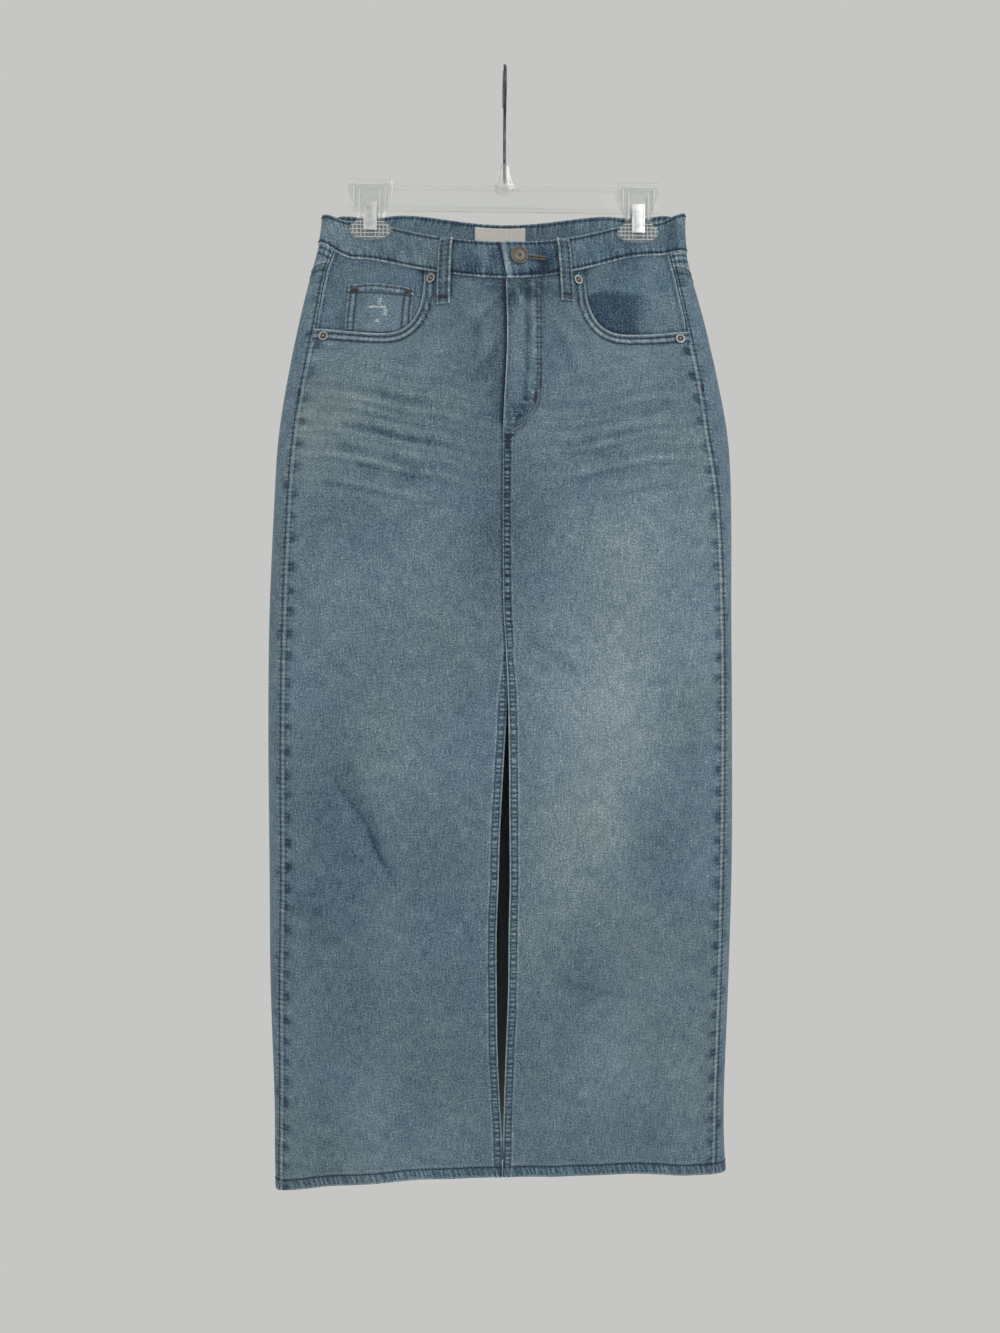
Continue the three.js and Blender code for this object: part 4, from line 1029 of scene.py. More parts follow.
def front_marks(side, angle, z):
    sign = SIGN[side]
    points = form(angle, z)
    x = points[..., 0]
    across = along_rows(points)
    to_seam = across[:, -1:] - across
    to_centre = sign * (x - read(CENTRE_FRONT, EDGE[side], z))
    to_hem = z - hem_edge(angle)
    to_band = band_edge(angle, "bottom") - z
    near_scoop = z > -300
    to_scoop = np.full(z.shape, 200.0)
    scoop_run = np.zeros(z.shape)
    to_scoop[near_scoop], scoop_run[near_scoop] = scoop_distance(x[near_scoop], z[near_scoop])
    below_slit = smooth((SLIT_TOP + 14 - z) / 14)
    felled = smooth((FLY_BOTTOM + 4 - z) / 8) * (1 - below_slit)
    fade = fade_and_shading_of("front", x, z)

    # The slit: folded edge, puckered strip, ridge over the end of the turned-in layer.
    ridge = strip_reach(side, z) + 0.6 * ripple(z, 70, sign)
    slit_strip = smooth((to_centre - 1) / 1.2) * (1 - smooth((to_centre - ridge + 1.6) / 1.4))
    puffed = line(to_centre, 0.5 * ridge, 0.29 * ridge)
    # The left front laps over the right one where the slit is closed, so only its edge shows.
    shown = 0.9 if side == "left" else 0.8 * smooth((-600 - z) / 50)
    shown = shown * (1 - 0.8 * smooth((-1040 - z) / 20))
    wear = below_slit * (1.1 * shown * line(to_centre, 0.0, 1.0) + 0.36 * line(to_centre, ridge, 1.1))
    deep = below_slit * (0.12 * slit_strip + 0.3 * line(to_centre, 2.0, 0.8))
    deep += below_slit * 0.3 * line(to_centre, ridge - 1.6, 0.9)
    # Where the right front's edge lies under the lap, a dark line is painted there: the shade in the
    # gap beside the lapping edge.
    deep += below_slit * (0.9 - shown) * line(to_centre, 0, 1.4)
    seam = below_slit * 0.95 * puffed
    run = z
    # The seam between fly and slit, felled towards the wearer's left.
    if side == "left":
        rope = line(to_centre, 4.4, 2.9)
        wear += felled * (0.5 * line(to_centre, 0.4, 0.9) + 0.3 * line(to_centre, 8.6, 0.9))
        deep += felled * (0.3 * rope + 0.5 * line(to_centre, 7.4, 0.9))
        seam += felled * 1.1 * rope
    else:
        deep += felled * 0.65 * line(to_centre, 0.3, 1.3)
    # The fly: its folded edge is pale, and the right front lies in its shadow.
    above_fly = 1 - smooth((FLY_BOTTOM + 6 - z) / 8)
    if side == "left":
        wear += above_fly * 0.8 * line(to_centre, 0.2, 1.1)
        # The layer under the placket ends at a dark hollow, a pale ridge and the J of stitches.
        bend = 24 * smooth((-300 - z) / 46)
        column = above_fly * (1 - smooth((-306 - z) / 20))
        deep += column * 0.85 * line(to_centre, 20.6, 1.9) * (0.75 + 0.5 * ripple(z, 34, 2.0))
        deep += column * 0.35 * line(to_centre, 2.6, 1.2)
        wear += column * 0.4 * line(to_centre, 24.6, 1.8)
        deep += above_fly * 0.65 * line(to_centre, 27.3 - bend, 1.0)
        deep += above_fly * 0.7 * line(to_centre, 33.4 - bend, 1.1)
        seam += above_fly * 0.7 * line(to_centre, 30.2 - bend, 3.0)
    else:
        deep += above_fly * (1.5 * line(to_centre, 0.0, 2.8) + 0.25 * line(to_centre, 7, 6))
    # The hem: bars across it, pale between dark, and a greyed lower edge.
    hem_strip = within(to_hem, 1.6, 9.6)
    wear += 0.4 * line(to_hem, 0.0, 1.8)
    deep += 0.2 * hem_strip + 0.75 * line(to_hem, HEM_STITCH, 1.0)
    deep += 0.12 * line(to_hem, 15.5, 4.0) * (0.5 + ripple(x, 60, 3.0 * sign))
    wear += 0.18 * line(to_hem, 13.8, 1.2)
    seam = np.maximum(seam, 0.52 * hem_strip)
    run = np.where(to_hem < 13.0, x + 0.35 * to_hem, run)
    # The scoop: a pale folded edge and two dark stitch lines with a pale ridge between them.
    scoop_strip = smooth((to_scoop - 1.5) / 1.0) * (1 - smooth((to_scoop - 10.5) / 1.6))
    wear += 0.7 * line(to_scoop, 0.2, 1.2) + 0.45 * line(to_scoop, 6.6, 1.2)
    deep += 0.95 * line(to_scoop, 3.7, 1.2) + line(to_scoop, 9.5, 1.3)
    seam = np.maximum(seam, 0.24 * scoop_strip)
    run = np.where(to_scoop < 13.0, scoop_run, run)
    # The side seam: a pale ridge with a dark line inside it, and dark puckers every few
    # centimetres, drawn up by the thread.
    below_scoop = smooth((-252 - z) / 8)
    wear += below_scoop * 0.75 * line(to_seam, 0.4, 1.4)
    deep += below_scoop * 0.5 * line(to_seam, 3.2, 1.0)
    beat = np.sin(2 * math.pi * z / 22.6 + 1.2 * ripple(z, 90, sign))
    spots = smooth((beat - 0.1) / 0.6) * (0.8 + 0.3 * ripple(z, 140, sign))
    deep += below_scoop * 0.85 * spots * line(to_seam, 6.2, 4.0)
    seam = np.maximum(seam, below_scoop * 0.35 * (1 - smooth((to_seam - 5.0) / 3)))
    # Under the waistband the cloth is bunched and keeps more blue, and the narrow dark line just
    # below the band's edge is its painted shadow.
    deep += 0.5 * line(to_band, 0.3, 1.7) + 0.2 * line(to_band, 0.0, 6.0)
    wear += 0.3 * line(to_band, 6.5, 1.6) * smooth(ripple(x, 24, sign) + 0.4)
    deep += 0.5 * loop_shade(x, z)
    return {
        "fade": fade, "wear": wear, "deep": np.clip(deep, 0, 1.4),
        "seam": np.clip(seam, 0, 1.2), "run": run * MM, "stain": patches(STAINS["front"], x, z),
    }


def front_lifts(side, angle, z):
    """How far the cloth stands off the form at seams, and its thickness."""
    to_centre = SIGN[side] * (form_x(angle, z) - read(CENTRE_FRONT, EDGE[side], z))
    to_hem = z - hem_edge(angle)
    below_slit = smooth((SLIT_TOP + 3 - z) / 6)
    outer = -0.35 * line(to_hem, HEM_STITCH, 1.3) + 0.25 * line(to_hem, 5.5, 3.5)
    outer = outer - 0.3 * line(to_hem, 0.0, 0.8)
    outer = outer + below_slit * (0.3 * line(to_centre, 4.5, 3.0) - 0.3 * line(to_centre, 0, 0.8))
    if side == "left":
        rope = smooth((FLY_BOTTOM - z) / 6) * smooth((z - SLIT_TOP) / 6)
        outer = outer + 0.7 * rope * (1 - smooth((to_centre - 7.5) / 2))
        fly = smooth((z - FLY_BOTTOM) / 8) * (1 - smooth((to_centre - 22) / 10))
        outer = outer + 0.9 * fly
    else:
        outer = outer - 0.5 * smooth((z - FLY_BOTTOM) / 8) * line(to_centre, 0, 2.5)
    outer = outer + 0.4 * whiskers(form_x(angle, z), z) / 0.08 * (z > -420)
    doubled = np.maximum(smooth((12.5 - to_hem) / 1.5), below_slit * smooth((15 - to_centre) / 2))
    return outer, mix(-CLOTH, -DOUBLED, doubled)


for number, side in enumerate(SIDES):
    angle, z = front_grid(side)
    piece = cloth(
        f"denim_front_{side}", angle, z, *front_lifts(side, angle, z),
        front_marks(side, angle, z), f"front_{side}", 40 + 700 * number,
    )
    print(piece.name, "has", len(piece.data.polygons), "faces")

# %% [markdown]
# ## The back and its yoke
#
# The photo hides the back, so it is finished plainly: two panels with a centre seam under a yoke
# that shapes the seat, as a jeans skirt must have. The seams have the same pale ridge and puckers
# as those on the front.

# %% Back panels and yokes


def back_grid(side, top_edge, bottom_edge, parts):
    """Angles and heights between two edges, from the side seam round to the centre back."""
    sign = SIGN[side]
    near = np.array([0, 1.0, 2.0, 3.2, 4.6, 6.4, 8.6, 11.4]) / 240
    u = np.concatenate([near, np.linspace(14.5 / 240, 1 - 9 / 240, 68)])
    u = np.concatenate([u, 1 - np.array([6.5, 4.5, 3, 2, 1, 0]) / 240])

    def angles(z):
        start = seam_angle(side, z, GAP / 2)
        middle = back_angle_of(sign * GAP / 2, z)
        end = 2 * math.pi - middle if side == "right" else middle
        return sign * mix(start, end, u)

    top = np.full(u.shape, float(YOKE_SIDE))
    bottom = np.full(u.shape, float(HEM_BACK))
    for _ in range(4):
        top = top_edge(angles(top)) - GAP / 2
        bottom = bottom_edge(angles(bottom))
    z = parts(top, bottom)
    return angles(z), z


def back_marks(side, angle, z, hemmed):
    sign = SIGN[side]
    to_top = z[:1] - z
    to_bottom = z - z[-1:]
    points = form(angle, z)
    x = points[..., 0]
    across = along_rows(points)
    to_middle = across[:, -1:] - across
    fade = np.where(np.cos(angle) >= 0, 0.02, fade_and_shading_of("back", x, z))
    wear = 0.3 * line(across, 0.3, 1.0) + 0.5 * line(to_middle, 0.4, 1.2)
    deep = 0.6 * line(across, 2.0, 1.1) + 0.45 * line(to_middle, 2.6, 1.2)
    spots = smooth((ripple(z, 29, 0.7 * sign) - 0.3) / 0.5) * (0.7 + 0.5 * ripple(z, 150, sign))
    deep += 0.72 * spots * line(across, 6.2, 3.2)
    seam = 0.4 * (1 - smooth((across - 5) / 3)) + 0.5 * (1 - smooth((to_middle - 6) / 3))
    run = z
    deep += 0.8 * line(to_top, 2.4, 1.0) + 0.8 * line(to_top, 8.0, 1.0)
    wear += 0.6 * line(to_top, 0.2, 1.1) + 0.3 * line(to_top, 5.2, 1.4)
    top_strip = 1 - smooth((to_top - 8) / 2)
    seam = np.maximum(seam, 0.5 * top_strip)
    run = np.where(to_top < 10, across, run)
    if hemmed:
        hem_strip = within(to_bottom, 1.6, 9.6)
        wear += 0.4 * line(to_bottom, 0.0, 1.8)
        deep += 0.22 * hem_strip + 0.6 * line(to_bottom, HEM_STITCH, 1.1)
        seam = np.maximum(seam, 0.85 * hem_strip)
        run = np.where(to_bottom < 13, across + 0.35 * to_bottom, run)
    else:
        wear += 0.5 * line(to_bottom, 0.2, 1.2)
    return {
        "fade": fade, "wear": wear, "deep": np.clip(deep, 0, 1),
        "seam": np.clip(seam, 0, 1.2), "run": run * MM, "stain": patches(STAINS["back"], x, z),
    }


for number, side in enumerate(SIDES):
    angle, z = back_grid(
        side, lambda a: yoke_edge(side, a), hem_edge,
        lambda top, bottom: panel_rows(top, bottom, 28, 256),
    )
    to_hem = z - z[-1:]
    marks = back_marks(side, angle, z, True)
    outer = 0.25 * line(to_hem, 5.5, 3.5) - 0.35 * line(to_hem, HEM_STITCH, 1.3)
    outer = outer - 0.3 * line(to_hem, 0.0, 0.8)
    inner = mix(-CLOTH, -DOUBLED, smooth((12.5 - to_hem) / 1.5))
    cloth(
        f"denim_back_{side}", angle, z, outer, inner, marks,
        f"back_{side}", 1500 + 800 * number,
    )
    angle, z = back_grid(
        side, lambda a: band_edge(a, "bottom"), lambda a: yoke_edge(side, a) + GAP / 2,
        lambda top, bottom: top + (bottom - top) * np.linspace(0, 1, 20)[:, None],
    )
    marks = back_marks(side, angle, z, False)
    cloth(
        f"denim_yoke_{side}", angle, z, 0.0, -CLOTH, marks,
        f"back_yoke_{side}", 3100 + 400 * number,
    )
    print("back", side, "panel and yoke made")

# %% [markdown]
# ## Seam allowances
#
# A seam's two cut edges are folded together and stitched flat inside the skirt: a strip behind
# each long seam. From outside they only stop the daylight that would show through the hair-thin
# gap between two panels, as the dark inside of the slit needs.

# %% Allowance strips
# name, seam, top, bottom, CAD node
ALLOWANCES = [
    ("denim_allowance_side_right", "right", -190, -1090, "back_right"),
    ("denim_allowance_side_left", "left", -190, -1080, "back_left"),
    ("denim_allowance_back", "back", -190, -1090, "back_left"),
    ("denim_allowance_front", "front", -352, -548, "front_left"),
]
for number, (name, seam, top, bottom, node) in enumerate(ALLOWANCES):
    offset, z = np.meshgrid(np.linspace(-5, 5, 7), np.linspace(top, bottom, 160))
    if seam == "back":
        angle = back_angle_of(offset, z)
    elif seam == "front":
        angle = angle_of(read(CENTRE_FRONT, EDGE["left"], z) + offset, z)
    else:
        angle = SIGN[seam] * seam_angle(seam, z, offset)
    cloth(name, angle, z, -2.3, -3.2, {"fade": -0.1}, node, 8000 + 30 * number)
print(len(ALLOWANCES), "allowance strips made")

# %% [markdown]
# ## The waistband
#
# A waistband is a folded strip, stitched near both edges. It is the thickest cloth on the skirt,
# so its edges wear the palest, and the stitches pucker it all along. In the clips it is pinched
# nearly flat.

# %% Waistband
LAP_TOP, LAP_BOTTOM = -5.2, 0.4
BACK_RUN = 174


def hole_height(x):
    """The middle of the buttonhole, which slants a little with the band."""
    return -185.4 + 0.08 * (x - 20)


def band_grid(side):
    sign = SIGN[side]
    parts = np.array([0, 0.02, 0.045, 0.075, 0.11, *np.linspace(0.15, 0.85, 16)])
    parts = np.concatenate([parts, 1 - parts[4::-1]])[:, None]
    lap_z = mix(BAND_TOP_MIDDLE, BAND_BOTTOM_MIDDLE, parts)
    start = angle_of(mix(LAP_TOP, LAP_BOTTOM, parts) + sign * GAP / 2, lap_z)
    end = sign * (math.pi - GAP / 2 / BACK_RUN)
    angle = mix(start, end, np.linspace(0, 1, 190))
    return angle, mix(band_edge(angle, "top"), band_edge(angle, "bottom") + GAP / 2, parts)


for number, side in enumerate(SIDES):
    angle, z = band_grid(side)
    points = form(angle, z)
    x = points[..., 0]
    across = along_rows(points)
    to_top = z[:1] - z
    to_bottom = z - z[-1:]
    facing = np.where(np.cos(angle) >= 0, 1.0, 0.0)
    wear = 0.55 * line(to_top, 0.0, 0.9) + 0.8 * line(to_bottom, 0.0, 1.1)
    deep = 0.8 * line(to_top, 2.4, 1.1) + 0.95 * line(to_bottom, 2.8, 1.1)
    strip = 1 - smooth((np.minimum(to_top, to_bottom) - 5.5) / 4)
    fade = 0.05 * ripple(across, 60, 2.1 + SIGN[side]) * ripple(z, 40, 1.1)
    fade = fade + 0.05 * line(np.abs(x), 150, 26) * facing - 0.07 * line(np.abs(x), 38, 18) * facing
    # Worn vertical creases where the band bends, and pale folded ends at the opening.
    folds = ripple(across, 17, 4.0 + SIGN[side]) * ripple(z + 0.4 * across, 31, 2.0)
    fade = fade + 0.17 * folds * facing * smooth((to_top - 5) / 6)
    fade = fade + 1.25 * facing * patches(BAND_FADES_AND_SHADE, x, z)
    if side == "left":
        wear = wear + facing * 0.85 * line(across, 1.8, 1.7)
        deep = deep + facing * (0.9 * line(across, 5.2, 1.1) - 0.4 * line(across, 2.0, 1.9))
        eye = within(x, 17, 35, 3) * facing
        wear = wear + 0.4 * eye * line(z, hole_height(x) + 2.4, 1.3)
        deep = deep + 0.5 * eye * line(z, hole_height(x) - 2.4, 1.4)
        fade = fade - 0.1 * facing * np.exp(-(((x - 34) / 14) ** 2) - ((z + 186) / 12) ** 2)
    else:
        # The right band's end lies under the left band's lapped end; the dark line on it is that end's
        # painted shadow.
        deep = deep + facing * 1.3 * line(across, 0.0, 2.6)
    deep = deep + 0.5 * facing * loop_shade(x, z)
    marks = {
        "fade": fade, "wear": wear, "deep": np.clip(deep, 0, 1.4),
        "seam": 0.36 * strip + 0.06, "run": across * MM,
    }
    puff = 0.35 * np.sin(math.pi * np.clip(to_top / (to_top + to_bottom), 0, 1))
    outer = 0.9 - 0.35 * line(to_top, 0, 0.9) - 0.25 * line(to_bottom, 0, 0.9)
    held = line(np.abs(x), CLIP_X, 30) ** 0.5
    outer = outer + puff * (1 - np.clip(1.6 * held, 0, 1))
    outer = outer - 0.2 * line(to_top, 2.6, 1.0) - 0.2 * line(to_bottom, 3.0, 1.0)
    if side == "left":
        outer = outer + 0.9 * facing * (1 - smooth((across - 26) / 16))
    cloth(
        f"denim_waistband_{side}", angle, z, outer, -1.5, marks,
        f"waistband_{side}", 4000 + 900 * number, reverse=False,
    )
    print("waistband", side, "made")

# %% [markdown]
# ## Pocket facings and the coin pocket
#
# Behind each scoop lies a facing of the same denim, and on the wearer's right a small coin pocket
# is sewn to it. Cloth inside a pocket is sheltered from the wash, so it keeps more blue: on the
# viewer's right there is a dark patch low in the opening, where the photo shows one.

# %% Pocket facings


def inside_scoop(across, z):
    """How far inside the pocket's opening a place of the facing is."""
    return np.minimum(z - scoop_edge(across), 1.2 * (across - SCOOP_START))


def facing_lift(angle, z):
    inside = inside_scoop(np.abs(form_x(angle, z)), z)
    return mix(-1.95, 0.0, smooth((inside - 3) / 12))


def facing_grid(side):
    sign = SIGN[side]
    u = np.linspace(0, 1, 50)

    def angles(z):
        start = np.abs(angle_of(sign * (SCOOP_START - 14), z))
        return sign * mix(start, seam_angle(side, z, -0.75), u)

    top = np.full(u.shape, float(SCOOP_TOP))
    for _ in range(4):
        top = band_edge(angles(top), "bottom") - GAP / 2
    bottom = mix(SCOOP_BOTTOM - 16, SCOOP_SIDE - 16, u ** 2)
    z = top + (bottom - top) * np.linspace(0, 1, 44)[:, None]
    return angles(z), z


for number, side in enumerate(SIDES):
    angle, z = facing_grid(side)
    lift = facing_lift(angle, z)
    x = form_x(angle, z)
    across = np.abs(x)
    along = along_rows(form(angle, z))
    to_seam = along[:, -1:] - along
    depth_in = inside_scoop(across, z)
    # Painted shadow: the facing is drawn darker just inside the scoop's edge, which shades it, and
    # along its top under the waistband.
    deep = 0.7 * (1 - smooth(depth_in / 6)) + 0.25 * line(z[:1] - z, 0, 3)
    wear = 0.55 * line(to_seam, 0.6, 1.2)
    deep = deep + 0.5 * line(to_seam, 3.4, 1.1)
    fade = -0.02 + 0.09 * ripple(x + 0.5 * z, 46, 2.2) * ripple(z - 0.3 * x, 50, 0.4)
    if side == "left":
        # The sheltered patch, with a straight upper edge and a straight side.
        edge = -207.5 + 2 * line(across, 92, 9) - 6 * line(across, 76, 9) - 0.06 * (across - 90)
        low = smooth((edge + 1 - z) / 5)
        beside = 0.6 * smooth((131 - across) / 14) + 0.4 * smooth((154 - across) / 30)
        fade = fade - 0.27 * low * beside
        deep = deep + 0.4 * line(z, edge, 1.3) * within(across, 86, 118, 8)
        # A soft painted shadow line runs down beside the patch, 126 to 130 mm from the centre.
        deep = deep + 0.1 * line(across, 126, 5) * smooth((-200 - z) / 6)
        fade = fade + 0.07 * line(across, 142, 9) - 0.06 * line(across, 130, 5) * (z > -214)
        fade = fade - 0.06 * smooth((z + 205) / 8) * line(across, 112, 20)
    else:
        fade = fade - 0.05 * smooth((across - 148) / 8) * (1 - smooth((across - 160) / 10))
    marks = {"fade": fade, "wear": wear, "deep": np.clip(deep, 0, 1)}
    cloth(
        f"denim_pocket_facing_{side}", angle, z, lift, lift - CLOTH, marks,
        f"pocket_facing_{side}", 5900 + 300 * number,
    )

# %% Coin pocket
COIN_LEFT, COIN_RIGHT = (-149.2, -203.4), (-86.2, -208.2)
COIN_LEAN, COIN_ARCH = 0.07, 3.8


def coin_place(u, part):
    x = mix(COIN_LEFT[0], COIN_RIGHT[0], u)
    top = mix(COIN_LEFT[1], COIN_RIGHT[1], u) + COIN_ARCH * np.sin(math.pi * u)
    bottom = np.full(np.shape(u), float(SCOOP_BOTTOM))
    for _ in range(6):
        slanted = x + COIN_LEAN * (bottom - top) * mix(1, 1.4, u)
        bottom = scoop_edge(np.abs(slanted)) + 1.3
    z = mix(top, bottom, part)
    return x + COIN_LEAN * (z - top) * mix(1, 1.4, u), z, top - z, z - bottom


u, part = np.meshgrid(
    [0, 0.02, 0.04, *np.linspace(0.07, 0.93, 28), 0.96, 0.98, 1],
    [0, 0.03, 0.06, *np.linspace(0.1, 1, 22)],
)
x, z, to_top, to_bottom = coin_place(u, part)
angle = angle_of(x, z)
base = facing_lift(angle, z) + 0.75
to_side = np.minimum(u, 1 - u) * 60
wear = 0.6 * line(to_top, 0.0, 1.0) + 0.45 * line(to_side, 0.0, 0.9)
wear = wear + 0.4 * line(to_top, 5.0, 1.6) + 0.3 * line(to_side, 5.2, 1.4)
deep = 0.85 * line(to_top, 2.6, 1.2) + 0.8 * line(to_side, 2.6, 1.2)
deep = deep + 0.85 * line(to_top, 8.0, 1.2) + 0.8 * line(to_side, 8.0, 1.2) * (to_top > 2)
strips = np.maximum(1 - smooth((to_top - 7) / 2), 0.8 * (1 - smooth((to_side - 7) / 2)))
# The pocket's foot, tucked under the scoop's edge, is drawn darker: that edge's painted shadow.
deep = deep + 0.3 * (1 - smooth(to_bottom / 4))
marks = {
    "fade": 0.03 + 0.04 * ripple(x, 30, 1.2), "wear": wear,
    "deep": np.clip(deep, 0, 1), "seam": 0.36 * strips,
    "run": np.where(to_side < 9, z, x) * MM,
}
outer = base + CLOTH + 0.4 * line(to_top, 4, 4) - 0.3 * line(to_top, 0, 0.8)
cloth("denim_coin_pocket", angle, z, outer, base, marks, "coin_pocket", 6500)
print("facings and coin pocket made")

# %% [markdown]
# ## Belt loops
#
# A belt loop is a folded strip with its raw edges stitched inside, which leaves two raised,
# pale edges and a sunk middle. It stands off the band so that a belt passes behind it, and a
# bartack holds it at its foot.

# %% Belt loops
# name, x at the top, x at the foot, how far it goes below the band, on the back
LOOPS = [
    ("belt_loop_front_right", -54.7, -57.6, 30, False),
    ("belt_loop_front_left", 53.6, 57.9, 27, False),
    ("belt_loop_back_right", -98, -99, 12, True),
    ("belt_loop_back_middle", 0, 0, 12, True),
    ("belt_loop_back_left", 98, 99, 12, True),
]
LOOP_WIDTH = 12


def loop_place(loop, share_across, part):
    _, x_top, x_foot, drop, on_back = loop
    turn = back_angle_of if on_back else angle_of
    middle = turn(x_top, BAND_TOP_MIDDLE)
    top = float(band_edge(middle, "top")) - 0.8
    seam = float(band_edge(middle, "bottom"))
    z = mix(top, seam - drop, part)
    angle = turn(mix(x_top, x_foot, part) + share_across * LOOP_WIDTH, z)
    over_band = smooth((z - seam + 5) / 5)
    slack = 1.4 * smooth((top - z) / 9) * smooth((z - seam + drop) / 12)
    return angle, z, mix(0.75, 1.2, over_band) + slack


for number, loop in enumerate(LOOPS):
    half = np.array([0.2, 0.32, 0.4, 0.46, 0.5])
    s, p = np.meshgrid([*-half[::-1], 0, *half], np.linspace(0, 1, 46))
    angle, z, base = loop_place(loop, s, p)
    from_top = p * abs(z[-1, 0] - z[0, 0])
    from_foot = from_top[-1:] - from_top
    edge = (0.5 - np.abs(s)) * LOOP_WIDTH
    wear = (0.55 + 0.35 * ripple(z + 9 * s, 17, number)) * line(edge, 0.5, 1.0)
    wear = wear + 0.6 * line(from_foot, 0.3, 1.0) + 0.5 * line(from_top, 0.2, 1.2)
    deep = 0.85 * line(edge, 2.6, 1.0) + 0.4 * line(from_foot, 6, 2.5)
    marks = {
        "fade": -0.05 + 0.06 * ripple(z, 26, number), "wear": wear,
        "deep": np.clip(deep, 0, 1), "seam": 0.5 * line(edge, 2.4, 2.2), "run": z * MM,
    }
    thick = 1.7 + 0.35 * line(edge, 1.2, 1.2) - 0.4 * line(edge, 0.0, 0.5) - 0.2 * line(edge, 2.7, 0.8)
    cloth(
        f"denim_{loop[0]}", angle, z, base + thick, base, marks,
        loop[0], 7000 + 100 * number, reverse=False,
    )
print(len(LOOPS), "belt loops made")

# %% [markdown]
# ## The label and the zip
#
# The label is a plain woven patch inside the back of the waistband, left blank. The zip lies
# behind the fly and is closed, so only its tape and chain are made, with a tooth every 2 mm.

# %% Label and zip
LABEL_LEFT, LABEL_RIGHT, LABEL_TOP, LABEL_HEIGHT = -29, 22, -137.5, 26
s, p = np.meshgrid(np.linspace(0, 1, 40), np.linspace(0, 1, 22))
z = LABEL_TOP - LABEL_HEIGHT * p
angle = back_angle_of(mix(LABEL_LEFT, LABEL_RIGHT, s), z)
swell = -0.25 * np.sin(math.pi * p) * (0.5 + 0.5 * ripple(s * 50, 30, 2.0))
cloth(
    "woven_label", angle, z, -2.25, -2.75 + swell, {}, "label", 7600,
    slot="label_cloth", material=LABEL_CLOTH,
)

ZIP_LEFT, ZIP_RIGHT, ZIP_CHAIN, ZIP_TOP, ZIP_BOTTOM = -11, 25, 6, -207.5, -336
xs = np.array([ZIP_LEFT, -5, 0, 2.5, 3.5, 6, 8.5, 9.5, 14, 20, ZIP_RIGHT], float)
x, z = np.meshgrid(xs, np.linspace(ZIP_TOP, ZIP_BOTTOM, 40))
cloth(
    "zip_tape_cloth", angle_of(x, z), z, -1.95, -2.75, {}, "zip", 7700,
    slot="zip_tape", material=TAPE,
)


def block(x0, x1, y0, y1, z0, z1):
    points = [(x, y, z) for x in (x0, x1) for y in (y0, y1) for z in (z0, z1)]
    faces = [(0, 1, 3, 2), (4, 6, 7, 5), (0, 4, 5, 1), (2, 3, 7, 6), (0, 2, 6, 4), (1, 5, 7, 3)]
    return np.array(points, float), faces


def joined(parts):
    """Several sets of points and faces as one."""
    points, faces = [], []
    for some_points, some_faces in parts:
        start = sum(len(p) for p in points)
        points.append(np.asarray(some_points))
        faces.extend([[start + v for v in face] for face in some_faces])
    return np.concatenate(points), faces


tooth_points, tooth_faces = block(-2.1, 2.1, -0.75, 0.75, -0.55, 0.55)
teeth = []
for number, z in enumerate(np.arange(ZIP_TOP - 4, ZIP_BOTTOM + 4, -2.0)):
    x = ZIP_CHAIN + (0.7 if number % 2 else -0.7)
    angle = angle_of(x, z)
    out = form_normal(angle, z)
    middle = form(angle, z) + out * -3.4
    axes = np.array([[1.0, 0, 0], out, np.cross([1.0, 0, 0], out)])
    teeth.append((middle + tooth_points @ axes, tooth_faces))
finish_piece("zip_teeth", new_mesh("zip_teeth", *joined(teeth), False), BUTTON_METAL, "zip_tape")
print("label, tape and", len(teeth), "teeth made")

# %% [markdown]
# ## Stitches
#
# Every seam that shows is a row of stitches 3 mm apart. A stitch is a short thread that dips into
# the cloth at both ends, so it is a small tapered rod, laid a little proud of the surface. Two
# rows of them side by side make the double seams of jeans, and a bartack is a block of close
# stitches across a strain point. Each group is one mesh, so that the scene stays light.

# %% Stitch makers


def thread(name, ends, radius, material, slot="denim"):
    """Tapered rods between pairs of points, all in one mesh."""
    starts = np.array([a for a, b in ends], float)
    stops = np.array([b for a, b in ends], float)
    along = stops - starts
    length = np.linalg.norm(along, axis=1, keepdims=True)
    direction = along / np.maximum(length, 1e-6)
    helper = np.where(np.abs(direction[:, 1:2]) < 0.9, [[0.0, 1.0, 0.0]], [[1.0, 0.0, 0.0]])
    first = np.cross(direction, helper)
    first /= np.linalg.norm(first, axis=1, keepdims=True)
    second = np.cross(direction, first)
    rings = [(0.0, 0.35), (0.18, 0.95), (0.5, 1.05), (0.82, 0.95), (1.0, 0.35)]
    sides = 5
    points = []
    for place, size in rings:
        for turn in circle(sides):
            spoke = math.cos(turn) * first + math.sin(turn) * second
            points.append(starts + along * place + radius * size * spoke)
    points = np.stack(points, axis=1)
    pattern = ring_faces(len(rings), sides)
    faces = []
    for start in range(0, len(ends) * len(rings) * sides, len(rings) * sides):
        faces.extend([[start + v for v in face] for face in pattern])
    return finish_piece(name, new_mesh(name, points.reshape(-1, 3), faces), material, slot)


def dashes(places):
    """A stitch between each place on the cloth and the next."""
    return [(mix(a, b, 0.14), mix(a, b, 0.86)) for a, b in zip(places[:-1], places[1:])]


def stitch_row(line_of, count, lift, fill=0.72):
    """Stitches along a line of the form. `line_of` gives angles and heights for 0 to 1."""
    t = np.linspace(0, 1, count + 1)
    share = (1 - fill) / 2 / count
    angle_a, z_a = line_of(t[:-1] + share)
    angle_b, z_b = line_of(t[1:] - share)
    a = lifted(angle_a, z_a, np.broadcast_to(lift, z_a.shape))
    b = lifted(angle_b, z_b, np.broadcast_to(lift, z_b.shape))
    return list(zip(a, b))


